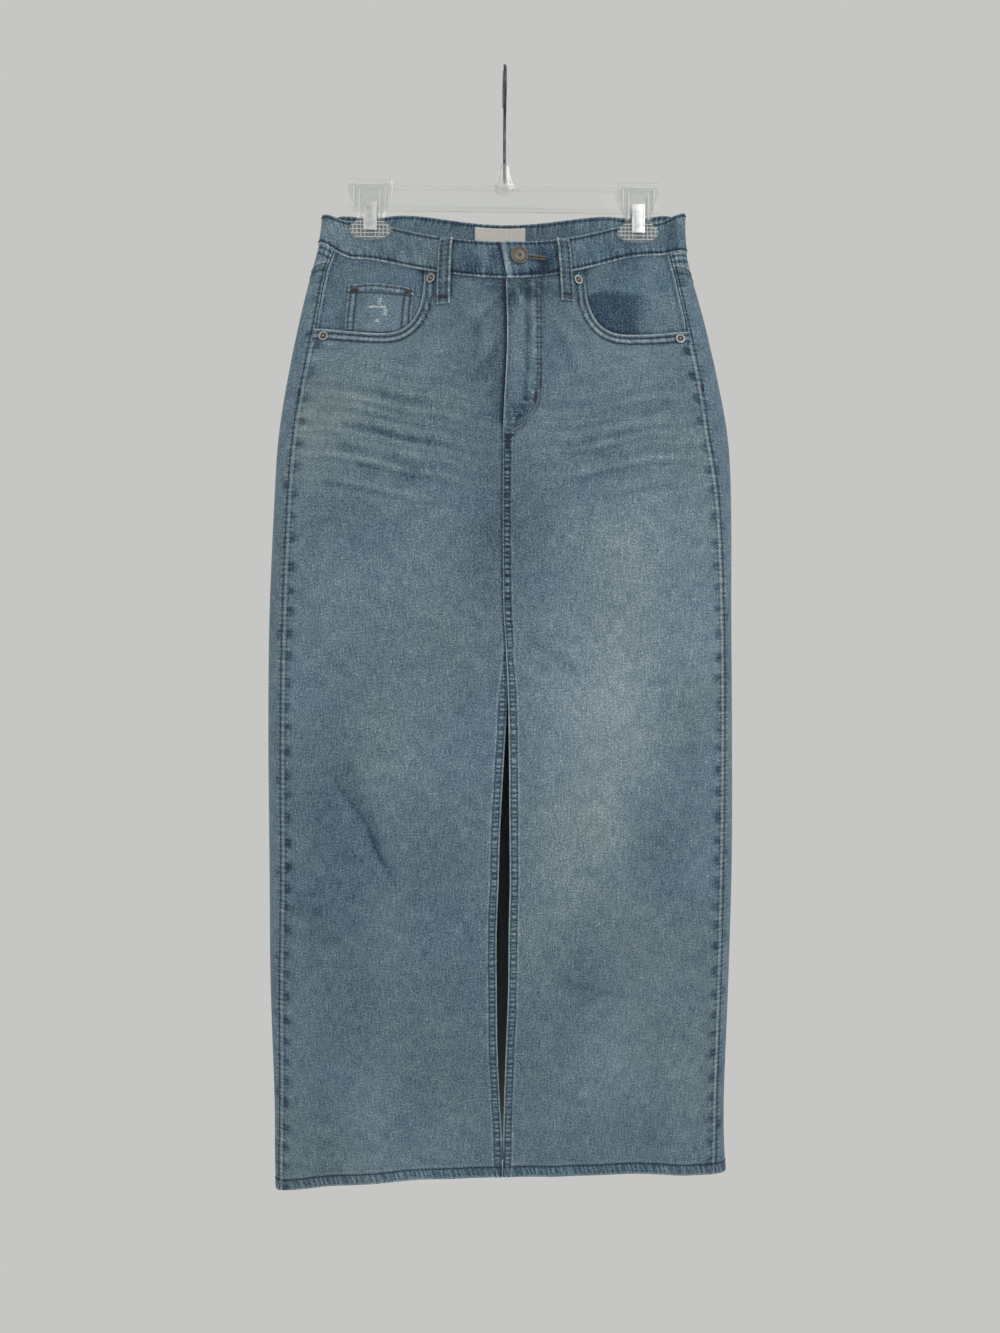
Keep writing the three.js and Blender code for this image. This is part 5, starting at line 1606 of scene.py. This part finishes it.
def standing(angle, z, lift):
    """A place on the cloth, with its sideways, upward and outward directions."""
    centre = lifted(np.array(angle), np.array(float(z)), np.array(lift))
    out = form_normal(np.array(angle), np.array(float(z)))
    side = np.cross([0.0, 0.0, 1.0], out)
    side /= np.linalg.norm(side)
    return centre, side, np.cross(out, side), out


def bartack(angle, z, width, height, lift, count):
    """A block of close stitches: rods across its height, side by side over its width."""
    centre, side, up, _ = standing(angle, z, lift)
    lean = up * height / 2 + side * 0.4
    places = [centre + side * width * (k / (count - 1) - 0.5) for k in range(count)]
    return [(at - lean, at + lean) for at in places]


def around(start, end, height):
    """A row round the skirt from one angle to another, at a height that follows an edge."""
    def along(t):
        angle = mix(float(start), float(end), t)
        return angle, height(angle)
    return along


def down(top, bottom, place):
    """A row down the skirt between two heights, at the angle of an edge or a seam."""
    def along(t):
        z = mix(float(top), float(bottom), t)
        return place(z), z
    return along


def drawn(x, z):
    """A row along a drawn line."""
    run = length_along(x, z)

    def along(t):
        at_z = np.interp(t * run[-1], run, z)
        return angle_of(np.interp(t * run[-1], run, x), at_z), at_z
    return along


print("stitch makers ready")

# %% Seam stitches
# Dark blue-grey thread: hem, slit, waistband, side seams, yoke and centre back.
dark = []
for side in SIDES:
    sign = SIGN[side]
    start, end = centre_angle(side, -1085, 1.0), sign * seam_angle(side, -1085, -1.0)
    dark += stitch_row(around(start, end, lambda a: hem_edge(a) + HEM_STITCH), 76, 0.05)
    start, end = sign * seam_angle(side, -1090, 1.0), sign * (math.pi - 0.005)
    dark += stitch_row(around(start, end, lambda a: hem_edge(a) + HEM_STITCH), 86, 0.05)
    slit_foot = HEM_MIDDLE + 12
    dark += stitch_row(down(-556, slit_foot, lambda z: centre_angle(side, z, 2.2)), 172, 0.2)
    outer_row = down(
        -560 if side == "left" else -600, slit_foot,
        lambda z: centre_angle(side, z, strip_reach(side, z) - 1.3),
    )
    dark += stitch_row(outer_row, 170, 0.2)
    start, middle = centre_angle(side, BAND_TOP_MIDDLE, 3.0), sign * (math.pi - 0.01)
    dark += stitch_row(around(start, middle, lambda a: band_edge(a, "top") - 2.6), 150, 1.05)
    dark += stitch_row(around(start, middle, lambda a: band_edge(a, "bottom") + 3.0), 150, 1.05)
    start = sign * seam_angle(side, -200, 2.0)
    for inset in (2.4, 8.0):
        dark += stitch_row(around(start, middle, lambda a: yoke_edge(side, a) - inset), 70, 0.15)
    side_row = down(-182, HEM_SIDE[side] + 13, lambda z: sign * seam_angle(side, z, 3.0))
    dark += stitch_row(side_row, 300, 0.15)
for inset in (2.6, 7.4):
    dark += stitch_row(down(-180, HEM_BACK + 13, lambda z: back_angle_of(inset, z)), 300, 0.15)
thread("dark_seam_stitches", dark, 0.42, DARK_THREAD)
print(len(dark), "dark stitches")


# %% Fly, centre seam and pocket stitches


def fly_curve(inset):
    """The curved fly stitching, as the wearer's left front shows it."""
    places = np.array([
        (28.7, -207.5), (28.9, -240), (28.9, -280), (28.7, -304), (27.6, -318),
        (22.0, -329), (14.6, -338), (5.3, -344),
    ])
    inward = np.array([
        (-1, 0), (-1, 0), (-1, 0), (-1, 0.05), (-0.9, 0.4),
        (-0.7, 0.7), (-0.5, 0.85), (-0.3, 0.95),
    ])
    places = places + inset * inward
    return drawn(places[:, 0], places[:, 1])


def centre_row(offset):
    return down(
        -348, -548, lambda z: angle_of(read(CENTRE_FRONT, EDGE["left"], z) + offset, z)
    )


def scoop_row(side, inset):
    """A row along the scoop, at a distance below its edge."""
    x, z = scoop_corner(np.radians(np.linspace(14, 90, 60)))
    rest = np.linspace(SCOOP_LOWEST + 2, 172, 30)
    x = np.concatenate([x, rest])
    z = np.concatenate([z, scoop_edge(rest)])
    dx = np.gradient(x)
    dz = np.gradient(z)
    size = np.hypot(dx, dz)
    return drawn(SIGN[side] * (x + inset * dz / size), z - inset * dx / size)


def coin_row(*points):
    """Stitches along straight runs of the coin pocket, given in its own shares."""
    rods = []
    for (u0, p0), (u1, p1) in zip(points[:-1], points[1:]):
        t = np.linspace(0, 1, max(2, round(60 * math.hypot(u1 - u0, 0.6 * (p1 - p0)) / 2.6)))
        x, z = coin_place(mix(u0, u1, t), mix(p0, p1, t))[:2]
        angle = angle_of(x, z)
        rods += dashes(lifted(angle, z, facing_lift(angle, z) + 2.15))
    return rods


dark = stitch_row(centre_row(1.8), 66, 0.95)
dark += stitch_row(centre_row(7.0), 66, 0.8)
for side in SIDES:
    dark += stitch_row(scoop_row(side, 3.9), 46, 0.2)
    dark += stitch_row(scoop_row(side, 9.6), 48, 0.2)
thread("dark_fly_and_pocket_stitches", dark, 0.5, DARK_THREAD)

tan = coin_row((0.04, 0.07), (0.96, 0.07)) + coin_row((0.04, 0.21), (0.96, 0.21))
tan += coin_row((0.043, 0.07), (0.043, 0.96)) + coin_row((0.133, 0.21), (0.133, 0.96))
tan += coin_row((0.957, 0.07), (0.957, 0.9)) + coin_row((0.867, 0.21), (0.867, 0.9))
for loop in LOOPS:
    for place in (-0.29, 0.29):
        t = np.linspace(0.03, 0.97, 24)
        angle, z, base = loop_place(loop, place, t)
        tan += dashes(lifted(angle, z, base + 1.62))
thread("brown_pocket_and_loop_stitches", tan, 0.52, TAN_THREAD)
fly = stitch_row(fly_curve(-0.2), 52, 0.4) + stitch_row(fly_curve(-3.7), 54, 0.3)
thread("brown_fly_stitches", fly, 0.56, TAN_THREAD)
print(len(dark), "dark and", len(tan), "tan stitches")

# %% [markdown]
# ## Bartacks, buttonhole and fraying
#
# Bartacks sit at the corners of the coin pocket, at the foot of each belt loop, at the foot of
# the fly and at the lower end of each pocket's side. The buttonhole is a cut edged with close
# stitches. On the coin pocket a few warp threads have burst, and the white weft shows there as
# short frayed marks.

# %% Bartacks and frays
tacks = []
for u, p in ((0.085, 0.13), (0.915, 0.13)):
    x, z = coin_place(np.array(u), np.array(p))[:2]
    angle = angle_of(x, z)
    tacks += bartack(angle, z, 5.2, 4.4, float(facing_lift(angle, z)) + 2.2, 9)
for loop in LOOPS:
    angle, z, base = loop_place(loop, 0.0, 0.9)
    tacks += bartack(angle, z, 8.6, 2.0, float(base) + 1.85, 14)
thread("brown_bartacks", tacks, 0.42, BARTACK_THREAD)
dark_tacks = bartack(angle_of(3.2, -350.0), -350.0, 8.0, 2.2, 1.2, 12)
dark_tacks += bartack(angle_of(1.4, -357.0), -357.0, 2.6, 10.0, 1.1, 6)
dark_tacks += bartack(angle_of(27.2, -315.0), -315.0, 2.2, 9.0, 0.4, 5)
for side in SIDES:
    z = -307.0 if side == "right" else -300.0
    dark_tacks += bartack(SIGN[side] * float(seam_angle(side, z, 2.6)), z, 2.0, 7.5, 0.45, 5)
thread("dark_bartacks", dark_tacks, 0.42, DARK_THREAD)

frays = []
generator = np.random.default_rng(7)
for x0, z0, count, width, height in (
    (-119, -220.5, 14, 2.0, 7), (-121, -226, 22, 13, 2.5), (-114, -231.5, 16, 2.2, 7),
    (-122, -240, 9, 2.5, 2.5), (-127, -226.5, 5, 3, 2.5),
):
    for _ in range(count):
        x = x0 + width * (generator.random() - 0.5)
        z = z0 + height * (generator.random() - 0.5)
        reach = 1.2 + 1.8 * generator.random()
        turn = 0.5 * (generator.random() - 0.5)
        xs = np.array([x - reach * math.cos(turn), x + reach * math.cos(turn)])
        zs = np.array([z - reach * math.sin(turn), z + reach * math.sin(turn)])
        angles = angle_of(xs, zs)
        frays.append(lifted(angles, zs, facing_lift(angles, zs) + 2.05))
thread("white_frayed_threads", frays, 0.27, WHITE_THREAD)


def hole_lift(x):
    """The lapped end of the band stands a layer proud, and the stitches lie on it."""
    return 1.5 + 0.9 * (1 - smooth((x - 23.6) / 16))


hole = []
for x in np.arange(19.5, 36.5, 0.75):
    for up in (1.0, -1.0):
        zs = hole_height(x) + up * np.array([0.5, 2.0])
        angles = angle_of(np.array([x, x]), zs)
        hole.append(lifted(angles, zs, float(hole_lift(x)) + np.array([0.1, 0.0])))
thread("buttonhole_stitches", hole, 0.32, HOLE_THREAD)
slit_line = []
for x0, x1 in zip(np.arange(19.0, 36.0, 4.0), np.arange(23.5, 40.5, 4.0)):
    xs = np.array([x0, min(x1, 36.8)])
    zs = hole_height(xs)
    slit_line.append(lifted(angle_of(xs, zs), zs, hole_lift(xs)))
thread("buttonhole_cut", slit_line, 0.45, DARK_THREAD)
print(len(tacks) + len(dark_tacks), "bartack threads,", len(frays), "frayed threads")

# %% [markdown]
# ## Button and rivets
#
# The button is a stamped shell over a tack: a rolled rim, a shallow dish and a dimple in the
# middle. The rivets are caps with a ring and a domed nipple. Both are turned shapes, so each is a
# profile spun about the direction in which the cloth faces.

# %% Turned metal


def turned(name, profile, x, z, lift, segments, material, slot, node):
    centre, side, up, out = standing(angle_of(x, z), z, lift)
    points = []
    for radius, height, _ in profile:
        for turn in circle(segments):
            spoke = math.cos(turn) * side + math.sin(turn) * up
            points.append(centre + radius * spoke + height * out)
    mesh = new_mesh(name, points, ring_faces(len(profile), segments))
    dirt = mesh.attributes.new("dirt", "FLOAT", "POINT")
    dirt.data.foreach_set("value", np.repeat([row[2] for row in profile], segments))
    return finish_piece(name, mesh, material, slot, node)


# Each row is a radius, a height and how much darker the metal is drawn there. On the button
# the groove inside the rim is painted shade and the dimple in the middle is drawn darker; on
# the rivets the groove round the dome, the rim at the cloth and the tip are drawn darker.
BUTTON_PROFILE = [
    (3.4, 0, 0), (3.4, 1.3, 0), (7.6, 1.5, 0), (8.1, 1.7, 0), (8.45, 2.1, 0), (8.5, 2.5, 0),
    (8.3, 3.0, 0), (7.9, 3.35, 0), (7.3, 3.5, 0), (6.8, 3.4, 0.2), (6.4, 3.1, 0.8),
    (6.0, 2.95, 0.5), (5.0, 3.05, 0.1), (3.6, 3.25, 0), (2.4, 3.35, 0.1), (1.5, 3.3, 0.3),
    (1.0, 3.05, 0.7), (0.5, 2.95, 0.7), (0.05, 2.95, 0.7),
]
RIVET_PROFILE = [
    (4.7, 0, 0.6), (4.9, 0.3, 0.5), (4.85, 0.7, 0.2), (4.65, 0.95, 0), (4.2, 1.05, 0),
    (3.4, 1.1, 0), (2.9, 1.05, 0.1), (2.7, 0.9, 0.5), (2.2, 0.3, 0.9), (1.7, 0.15, 0.9),
    (1.45, 0.5, 0.5), (1.25, 1.1, 0.1), (0.9, 1.45, 0), (0.4, 1.6, 0.2), (0.05, 1.65, 0.4),
]
RIVETS = [
    ("rivet_front_right", -70.2, -199.0),
    ("rivet_side_right", -172.6, -253.6),
    ("rivet_front_left", 69.6, -198.8),
    ("rivet_side_left", 168.0, -253.6),
]
turned(
    "shank_button", BUTTON_PROFILE, 11.7, -184.9, 1.2, 56, BUTTON_METAL, "button_metal", "button"
)
for node, x, z in RIVETS:
    turned(f"cap_{node}", RIVET_PROFILE, x, z, 0.75, 32, RIVET_METAL, "rivet_metal", node)
print("button and", len(RIVETS), "rivets made")

# %% [markdown]
# ## The hanger
#
# The bar is an I-section moulding with a flared neck; the hook is one bent wire. A clip is two
# moulded jaws on the bar, closed by a sprung metal strip that shows in its window. Each jaw has a
# raised rim, and its pad has a grid of ribs that grips the cloth, which is what catches the light
# in the photo; the ribs are drawn in a whiter, less clear copy of the plastic, a painted
# highlight. Plastic this clear is seen by its edges, so the edges are rounded with a bevel.

# %% Hanger bar and hook
BAR_TOP, BAR_BOTTOM, BAR_LENGTH = -107.7, -131.0, 298.0


def prism(name, outline, depth, plane, bevel=0.35, hole=None):
    """A closed outline pushed through a depth, with its edges rounded by a bevel."""
    curve = bpy.data.curves.new(name, "CURVE")
    curve.dimensions = "2D"
    curve.fill_mode = "BOTH"
    curve.extrude = (depth / 2 - bevel) * MM
    curve.bevel_depth = bevel * MM
    curve.bevel_resolution = 2
    curve.offset = -bevel * MM
    for loop in [outline] + ([hole] if hole else []):
        spline = curve.splines.new("POLY")
        spline.points.add(len(loop) - 1)
        flat = [value for a, b in loop for value in (a * MM, b * MM, 0.0, 1.0)]
        spline.points.foreach_set("co", flat)
        spline.use_cyclic_u = True
    holder = bpy.data.objects.new(name + "_outline", curve)
    bpy.context.scene.collection.objects.link(holder)
    bpy.context.view_layer.update()
    graph = bpy.context.evaluated_depsgraph_get()
    mesh = bpy.data.meshes.new_from_object(holder.evaluated_get(graph))
    bpy.data.objects.remove(holder)
    points = np.zeros(len(mesh.vertices) * 3)
    mesh.vertices.foreach_get("co", points)
    points = points.reshape(-1, 3)
    if plane == "xz":
        points = np.stack([points[:, 0], -points[:, 2], points[:, 1]], axis=1)
    else:
        points = np.stack([points[:, 2], points[:, 0], points[:, 1]], axis=1)
    return points / MM, [list(p.vertices) for p in mesh.polygons]


def hanger_piece(name, parts, material, slot, node, flat=False):
    mesh = new_mesh(name, *joined(parts), not flat)
    mesh.set_sharp_from_angle(angle=math.radians(35))
    return finish_piece(name, mesh, material, slot, node)


i_section = [
    (-2.6, BAR_TOP), (2.6, BAR_TOP), (2.6, BAR_TOP - 3), (1.1, BAR_TOP - 4),
    (1.1, BAR_BOTTOM + 4), (2.6, BAR_BOTTOM + 3), (2.6, BAR_BOTTOM), (-2.6, BAR_BOTTOM),
    (-2.6, BAR_BOTTOM + 3), (-1.1, BAR_BOTTOM + 4), (-1.1, BAR_TOP - 4), (-2.6, BAR_TOP - 3),
]
bar = prism("bar", i_section, BAR_LENGTH, "yz", 0.3)


def spun(profile, segments=40):
    points = [
        (r * math.cos(t), r * math.sin(t), z) for z, r in profile for t in circle(segments)
    ]
    return np.array(points), ring_faces(len(profile), segments, False)


neck = spun([
    (BAR_TOP - 3.9, 0.01), (BAR_TOP - 4, 9.6), (BAR_TOP - 3.6, 10), (BAR_TOP + 0.4, 10),
    (BAR_TOP + 1.2, 9.4), (BAR_TOP + 3, 8.2), (BAR_TOP + 5, 7.2), (BAR_TOP + 8, 6.1),
    (BAR_TOP + 11, 5.2), (BAR_TOP + 16, 4.6), (-87.5, 4.3), (-87, 3.9), (-87, 1.9),
    (BAR_TOP + 3, 1.8), (BAR_TOP + 3, 0.01),
])
hanger_piece("moulded_bar", [bar, neck], PLASTIC, "clear_plastic", "hanger_bar")

HOOK_RADIUS, WIRE_RADIUS = 19.5, 1.5
corners = [(0, 0, BAR_TOP + 3.3), (0, 0, -80), (0, 0, -60), (0, -1.5, -49), (0, -6.5, -40.5)]
for degrees in np.linspace(225, -30, 14):
    turn = math.radians(degrees)
    height = WIRE_RADIUS - HOOK_RADIUS + HOOK_RADIUS * math.sin(turn)
    corners.append((0, HOOK_RADIUS * math.cos(turn), height))
corners = np.array(corners, float)


def through(points, steps):
    """A smooth line through points: each span eased by its neighbours."""
    padded = np.concatenate([[2 * points[0] - points[1]], points, [2 * points[-1] - points[-2]]])
    out = []
    for k in range(1, len(padded) - 2):
        p0, p1, p2, p3 = padded[k - 1:k + 3]
        m1 = (p2 - p0) / 2
        m2 = (p3 - p1) / 2
        longest = np.linalg.norm(p2 - p1)
        m1 = m1 * min(1, longest / max(np.linalg.norm(m1), 1e-6))
        m2 = m2 * min(1, longest / max(np.linalg.norm(m2), 1e-6))
        for t in np.linspace(0, 1, steps, endpoint=False):
            h1 = 2 * t ** 3 - 3 * t ** 2 + 1
            h2 = t ** 3 - 2 * t ** 2 + t
            h3 = -2 * t ** 3 + 3 * t ** 2
            h4 = t ** 3 - t ** 2
            out.append(h1 * p1 + h2 * m1 + h3 * p2 + h4 * m2)
    out.append(points[-1])
    return np.array(out)


def tube(path, radius, sides, last_size):
    """A round tube along a path in the plane x = 0, which narrows at its last point."""
    along = np.gradient(path, axis=0)
    along /= np.linalg.norm(along, axis=1, keepdims=True)
    first = np.array([1.0, 0.0, 0.0])
    points = []
    for k, (place, direction) in enumerate(zip(path, along)):
        size = radius * (last_size if k == len(path) - 1 else 1.0)
        second = np.cross(direction, first)
        for turn in circle(sides):
            points.append(place + size * (math.cos(turn) * first + math.sin(turn) * second))
    return np.array(points), ring_faces(len(path), sides)


hanger_piece(
    "bent_wire_hook", [tube(through(corners, 7), WIRE_RADIUS, 16, 0.6)],
    WIRE_STEEL, "wire_steel", "hanger_hook",
)
print("bar and hook made")

# %% Clips
JAW_TOP, JAW_WAIST, PAD_TOP, PAD_BOTTOM = -104.0, -133.0, -141.0, -160.0
PAD_HALF_WIDTH = 20.5
SPRING_TOP = -131.6
SPRING_WIDTH = 12.6
JAW_FACE = 2.9
JAW_THICKNESS = 3.0


def housing_outline():
    half = [(18.5, JAW_TOP), (20.6, JAW_TOP - 0.6), (21.5, JAW_TOP - 2.5), (20, JAW_TOP - 14)]
    half += [(13, JAW_WAIST), (13, PAD_TOP + 0.5)]
    middle = (PAD_TOP + PAD_BOTTOM) / 2
    for degrees in np.linspace(72, -90, 15):
        turn = math.radians(degrees)
        x = PAD_HALF_WIDTH * np.sign(math.cos(turn)) * abs(math.cos(turn)) ** 0.8
        half.append((float(x), middle + (PAD_TOP - PAD_BOTTOM) / 2 * math.sin(turn)))
    left = [(-x, z) for x, z in half[::-1] if abs(x) > 0.01]
    return half + left


WINDOW = [
    (-8, SPRING_TOP + 1.2), (-8, SPRING_TOP - 2.4), (8, SPRING_TOP - 2.4), (8, SPRING_TOP + 1.2)
]


def moved(part, x, front):
    """A part made for the front jaw, set at a clip and turned round for the back one."""
    points, faces = part
    points = points * [1, 1 if front else -1, 1] + [x, 0, 0]
    return points, faces if front else [face[::-1] for face in faces]


def jaw_plate():
    points, faces = prism("jaw", housing_outline(), JAW_THICKNESS, "xz", 0.4, WINDOW)
    return [(points + [0, -(JAW_FACE + JAW_THICKNESS / 2), 0], faces)]


def jaw_ribs():
    parts = []
    face = -(JAW_FACE + JAW_THICKNESS)
    back = face + 0.3
    # The housing's raised frame, in which the spring lies.
    for x in (-15.6, 14.4):
        parts.append(block(x, x + 1.2, face - 0.9, back, -128, -108))
    parts.append(block(-15.6, 15.6, face - 0.9, back, -109.4, -108.2))
    for x in (-10.2, 9.0):
        parts.append(block(x, x + 1.2, face - 0.8, back, -139, -113))
    # The pad's grid of ribs.
    for x in (-16.4, -12.6, -8.8, -5.0, 5.0, 8.8, 12.6, 16.4):
        reach = 7.2 - 0.012 * x * x
        parts.append(block(x - 0.35, x + 0.35, face - 0.7, back, -150.5 - reach, -150.5 + reach))
    for z, reach in ((-157.2, 14.5), (-153.6, 18.4), (-150.0, 19.2), (-146.4, 18.2), (-143.2, 14)):
        parts.append(block(-reach, reach, face - 0.7, back, z - 0.35, z + 0.35))
    return parts


def strip_outline():
    inside = JAW_FACE + JAW_THICKNESS + GAP
    outside = inside + 0.8
    return [
        (-outside, -151), (-outside, -124.5), (-inside, -124.5), (-inside, SPRING_TOP),
        (inside, SPRING_TOP), (inside, -124.5), (outside, -124.5), (outside, -151),
        (inside, -151), (inside, SPRING_TOP - 0.8), (-inside, SPRING_TOP - 0.8), (-inside, -151),
    ]


def strip_parts():
    parts = [prism("strip", strip_outline(), SPRING_WIDTH, "yz", 0.12)]
    front = -(JAW_FACE + JAW_THICKNESS + GAP + 0.8)
    # Pressed ridges along both borders stiffen the strip.
    for x in (-SPRING_WIDTH / 2 + 0.7, SPRING_WIDTH / 2 - 1.9):
        parts.append(block(x, x + 1.2, front - 0.35, front + 0.1, -150, -125.5))
        parts.append(block(x, x + 1.2, -front - 0.1, -front + 0.35, -150, -125.5))
    return parts


for side in SIDES:
    x = SIGN[side] * CLIP_X
    for place in ("front", "back"):
        front = place == "front"
        name = f"clip_{side}_{place}_jaw"
        plate = [moved(part, x, front) for part in jaw_plate()]
        ribs = [moved(part, x, front) for part in jaw_ribs()]
        hanger_piece(f"moulded_{name}", plate, PLASTIC, "clear_plastic", name)
        hanger_piece(f"ribs_{name}", ribs, PAINTED_HIGHLIGHT_RIB_PLASTIC, "clear_plastic", name, True)
    parts = [moved(part, x, True) for part in strip_parts()]
    hanger_piece(f"sprung_strip_{side}", parts, SPRING_STEEL, "spring_steel", f"clip_{side}_spring")
print("two clips made")

# %% [markdown]
# ## What is cloth
#
# Each sheet is listed with its size laid flat, in metres, and with what it hangs from. The size
# is that of the part which shows, measured along the form, without its turnings.

# %% Sheets
PAIRED_SHEETS = [
    ("denim_front_{}", (0.245, 0.905), 0.200, "denim_waistband_{}"),
    ("denim_back_{}", (0.270, 0.925), 0.225, "denim_yoke_{}"),
    ("denim_yoke_{}", (0.215, 0.070), 0.0085, "denim_waistband_{}"),
    ("denim_waistband_{}", (0.385, 0.040), 0.0140, "moulded_clip_{}_front_jaw"),
    ("denim_pocket_facing_{}", (0.130, 0.090), 0.0090, "denim_waistband_{}"),
]
SHEETS = [
    (name.format(side), flat, area, above.format(side))
    for name, flat, area, above in PAIRED_SHEETS
    for side in SIDES
]
SHEETS += [
    ("denim_coin_pocket", (0.064, 0.051), 0.0026, "denim_pocket_facing_right"),
    ("denim_belt_loop_front_right", (0.012, 0.064), None, "denim_waistband_right"),
    ("denim_belt_loop_front_left", (0.012, 0.061), None, "denim_waistband_left"),
    ("denim_belt_loop_back_right", (0.012, 0.050), None, "denim_waistband_right"),
    ("denim_belt_loop_back_middle", (0.012, 0.050), None, "denim_waistband_left"),
    ("denim_belt_loop_back_left", (0.012, 0.050), None, "denim_waistband_left"),
    ("woven_label", (0.052, 0.026), None, "denim_waistband_right"),
    ("zip_tape_cloth", (0.036, 0.129), None, "denim_front_left"),
]
for name, seam, top, bottom, node in ALLOWANCES:
    SHEETS.append((name, (0.010, (top - bottom) * MM), None, f"denim_{node}"))
print(len(SHEETS), "sheets declared")

# %% [markdown]
# ## Floor, light and camera
#
# The light in the photo is soft and comes from everywhere, a little more from above and the
# right, so the world is pale and two large lamps shape the folds in front. A third lights the
# back. The camera stands at the height of the hips, a metre off, looks slightly down and slightly
# to the right, and shows the skirt as the photo does. A small pale floor lies far below the hem.

# %% Floor and light
scene = bpy.context.scene
floor_mesh = bpy.data.meshes.new("floor")
ring = [(0.5 * math.cos(t), -0.38 + 0.5 * math.sin(t), -1.5) for t in circle(64)]
floor_mesh.from_pydata(ring, [], [list(range(64))])
floor = bpy.data.objects.new("floor", floor_mesh)
scene.collection.objects.link(floor)
paint = Surface("pale_floor_paint").finish({"Base Color": linear("#c9c9c5"), "Roughness": 0.8})
floor_mesh.materials.append(paint)
floor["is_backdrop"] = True

world = bpy.data.worlds.new("pale_studio")
world.use_nodes = True
world.node_tree.nodes["Background"].inputs["Color"].default_value = linear("#c6c7c4")
world.node_tree.nodes["Background"].inputs["Strength"].default_value = 1.0
scene.world = world


def lamp(name, place, target, size, power):
    light = bpy.data.lights.new(name, "AREA")
    light.shape = "RECTANGLE"
    light.size, light.size_y = size
    light.energy = power
    holder = bpy.data.objects.new(name, light)
    holder.location = place
    aim = Vector(target) - Vector(place)
    holder.rotation_euler = aim.to_track_quat("-Z", "Y").to_euler()
    scene.collection.objects.link(holder)


lamp("key", (1.5, -1.9, 0.7), (0, 0, -0.55), (1.6, 1.6), 22)
lamp("fill", (-1.8, -1.6, -0.2), (0, 0, -0.6), (1.4, 1.8), 7)
lamp("back", (-1.2, 1.9, 0.3), (0, 0, -0.55), (1.6, 1.6), 12)
scene.view_settings.view_transform = "Standard"
scene.view_settings.look = "None"
print("floor and light made")

# %% Camera
PHOTO_HEIGHT, FOCAL_PIXELS, SENSOR = 1333, 1001, 36
camera = bpy.data.cameras.new("camera")
camera.sensor_width = SENSOR
camera.lens = SENSOR * FOCAL_PIXELS / PHOTO_HEIGHT
camera.clip_start = 0.01
viewer = bpy.data.objects.new("camera", camera)
viewer.location = (-0.03556, -0.995, -0.48993)
forward = Vector((0.03131, 0.99630, -0.08002))
viewer.rotation_euler = forward.to_track_quat("-Z", "Y").to_euler()
scene.collection.objects.link(viewer)
scene.camera = viewer
print("camera set, focal length", round(camera.lens, 2), "mm")

# %% Sizes and finish
low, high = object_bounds()
print("scene box", [round(v, 4) for v in low], [round(v, 4) for v in high])
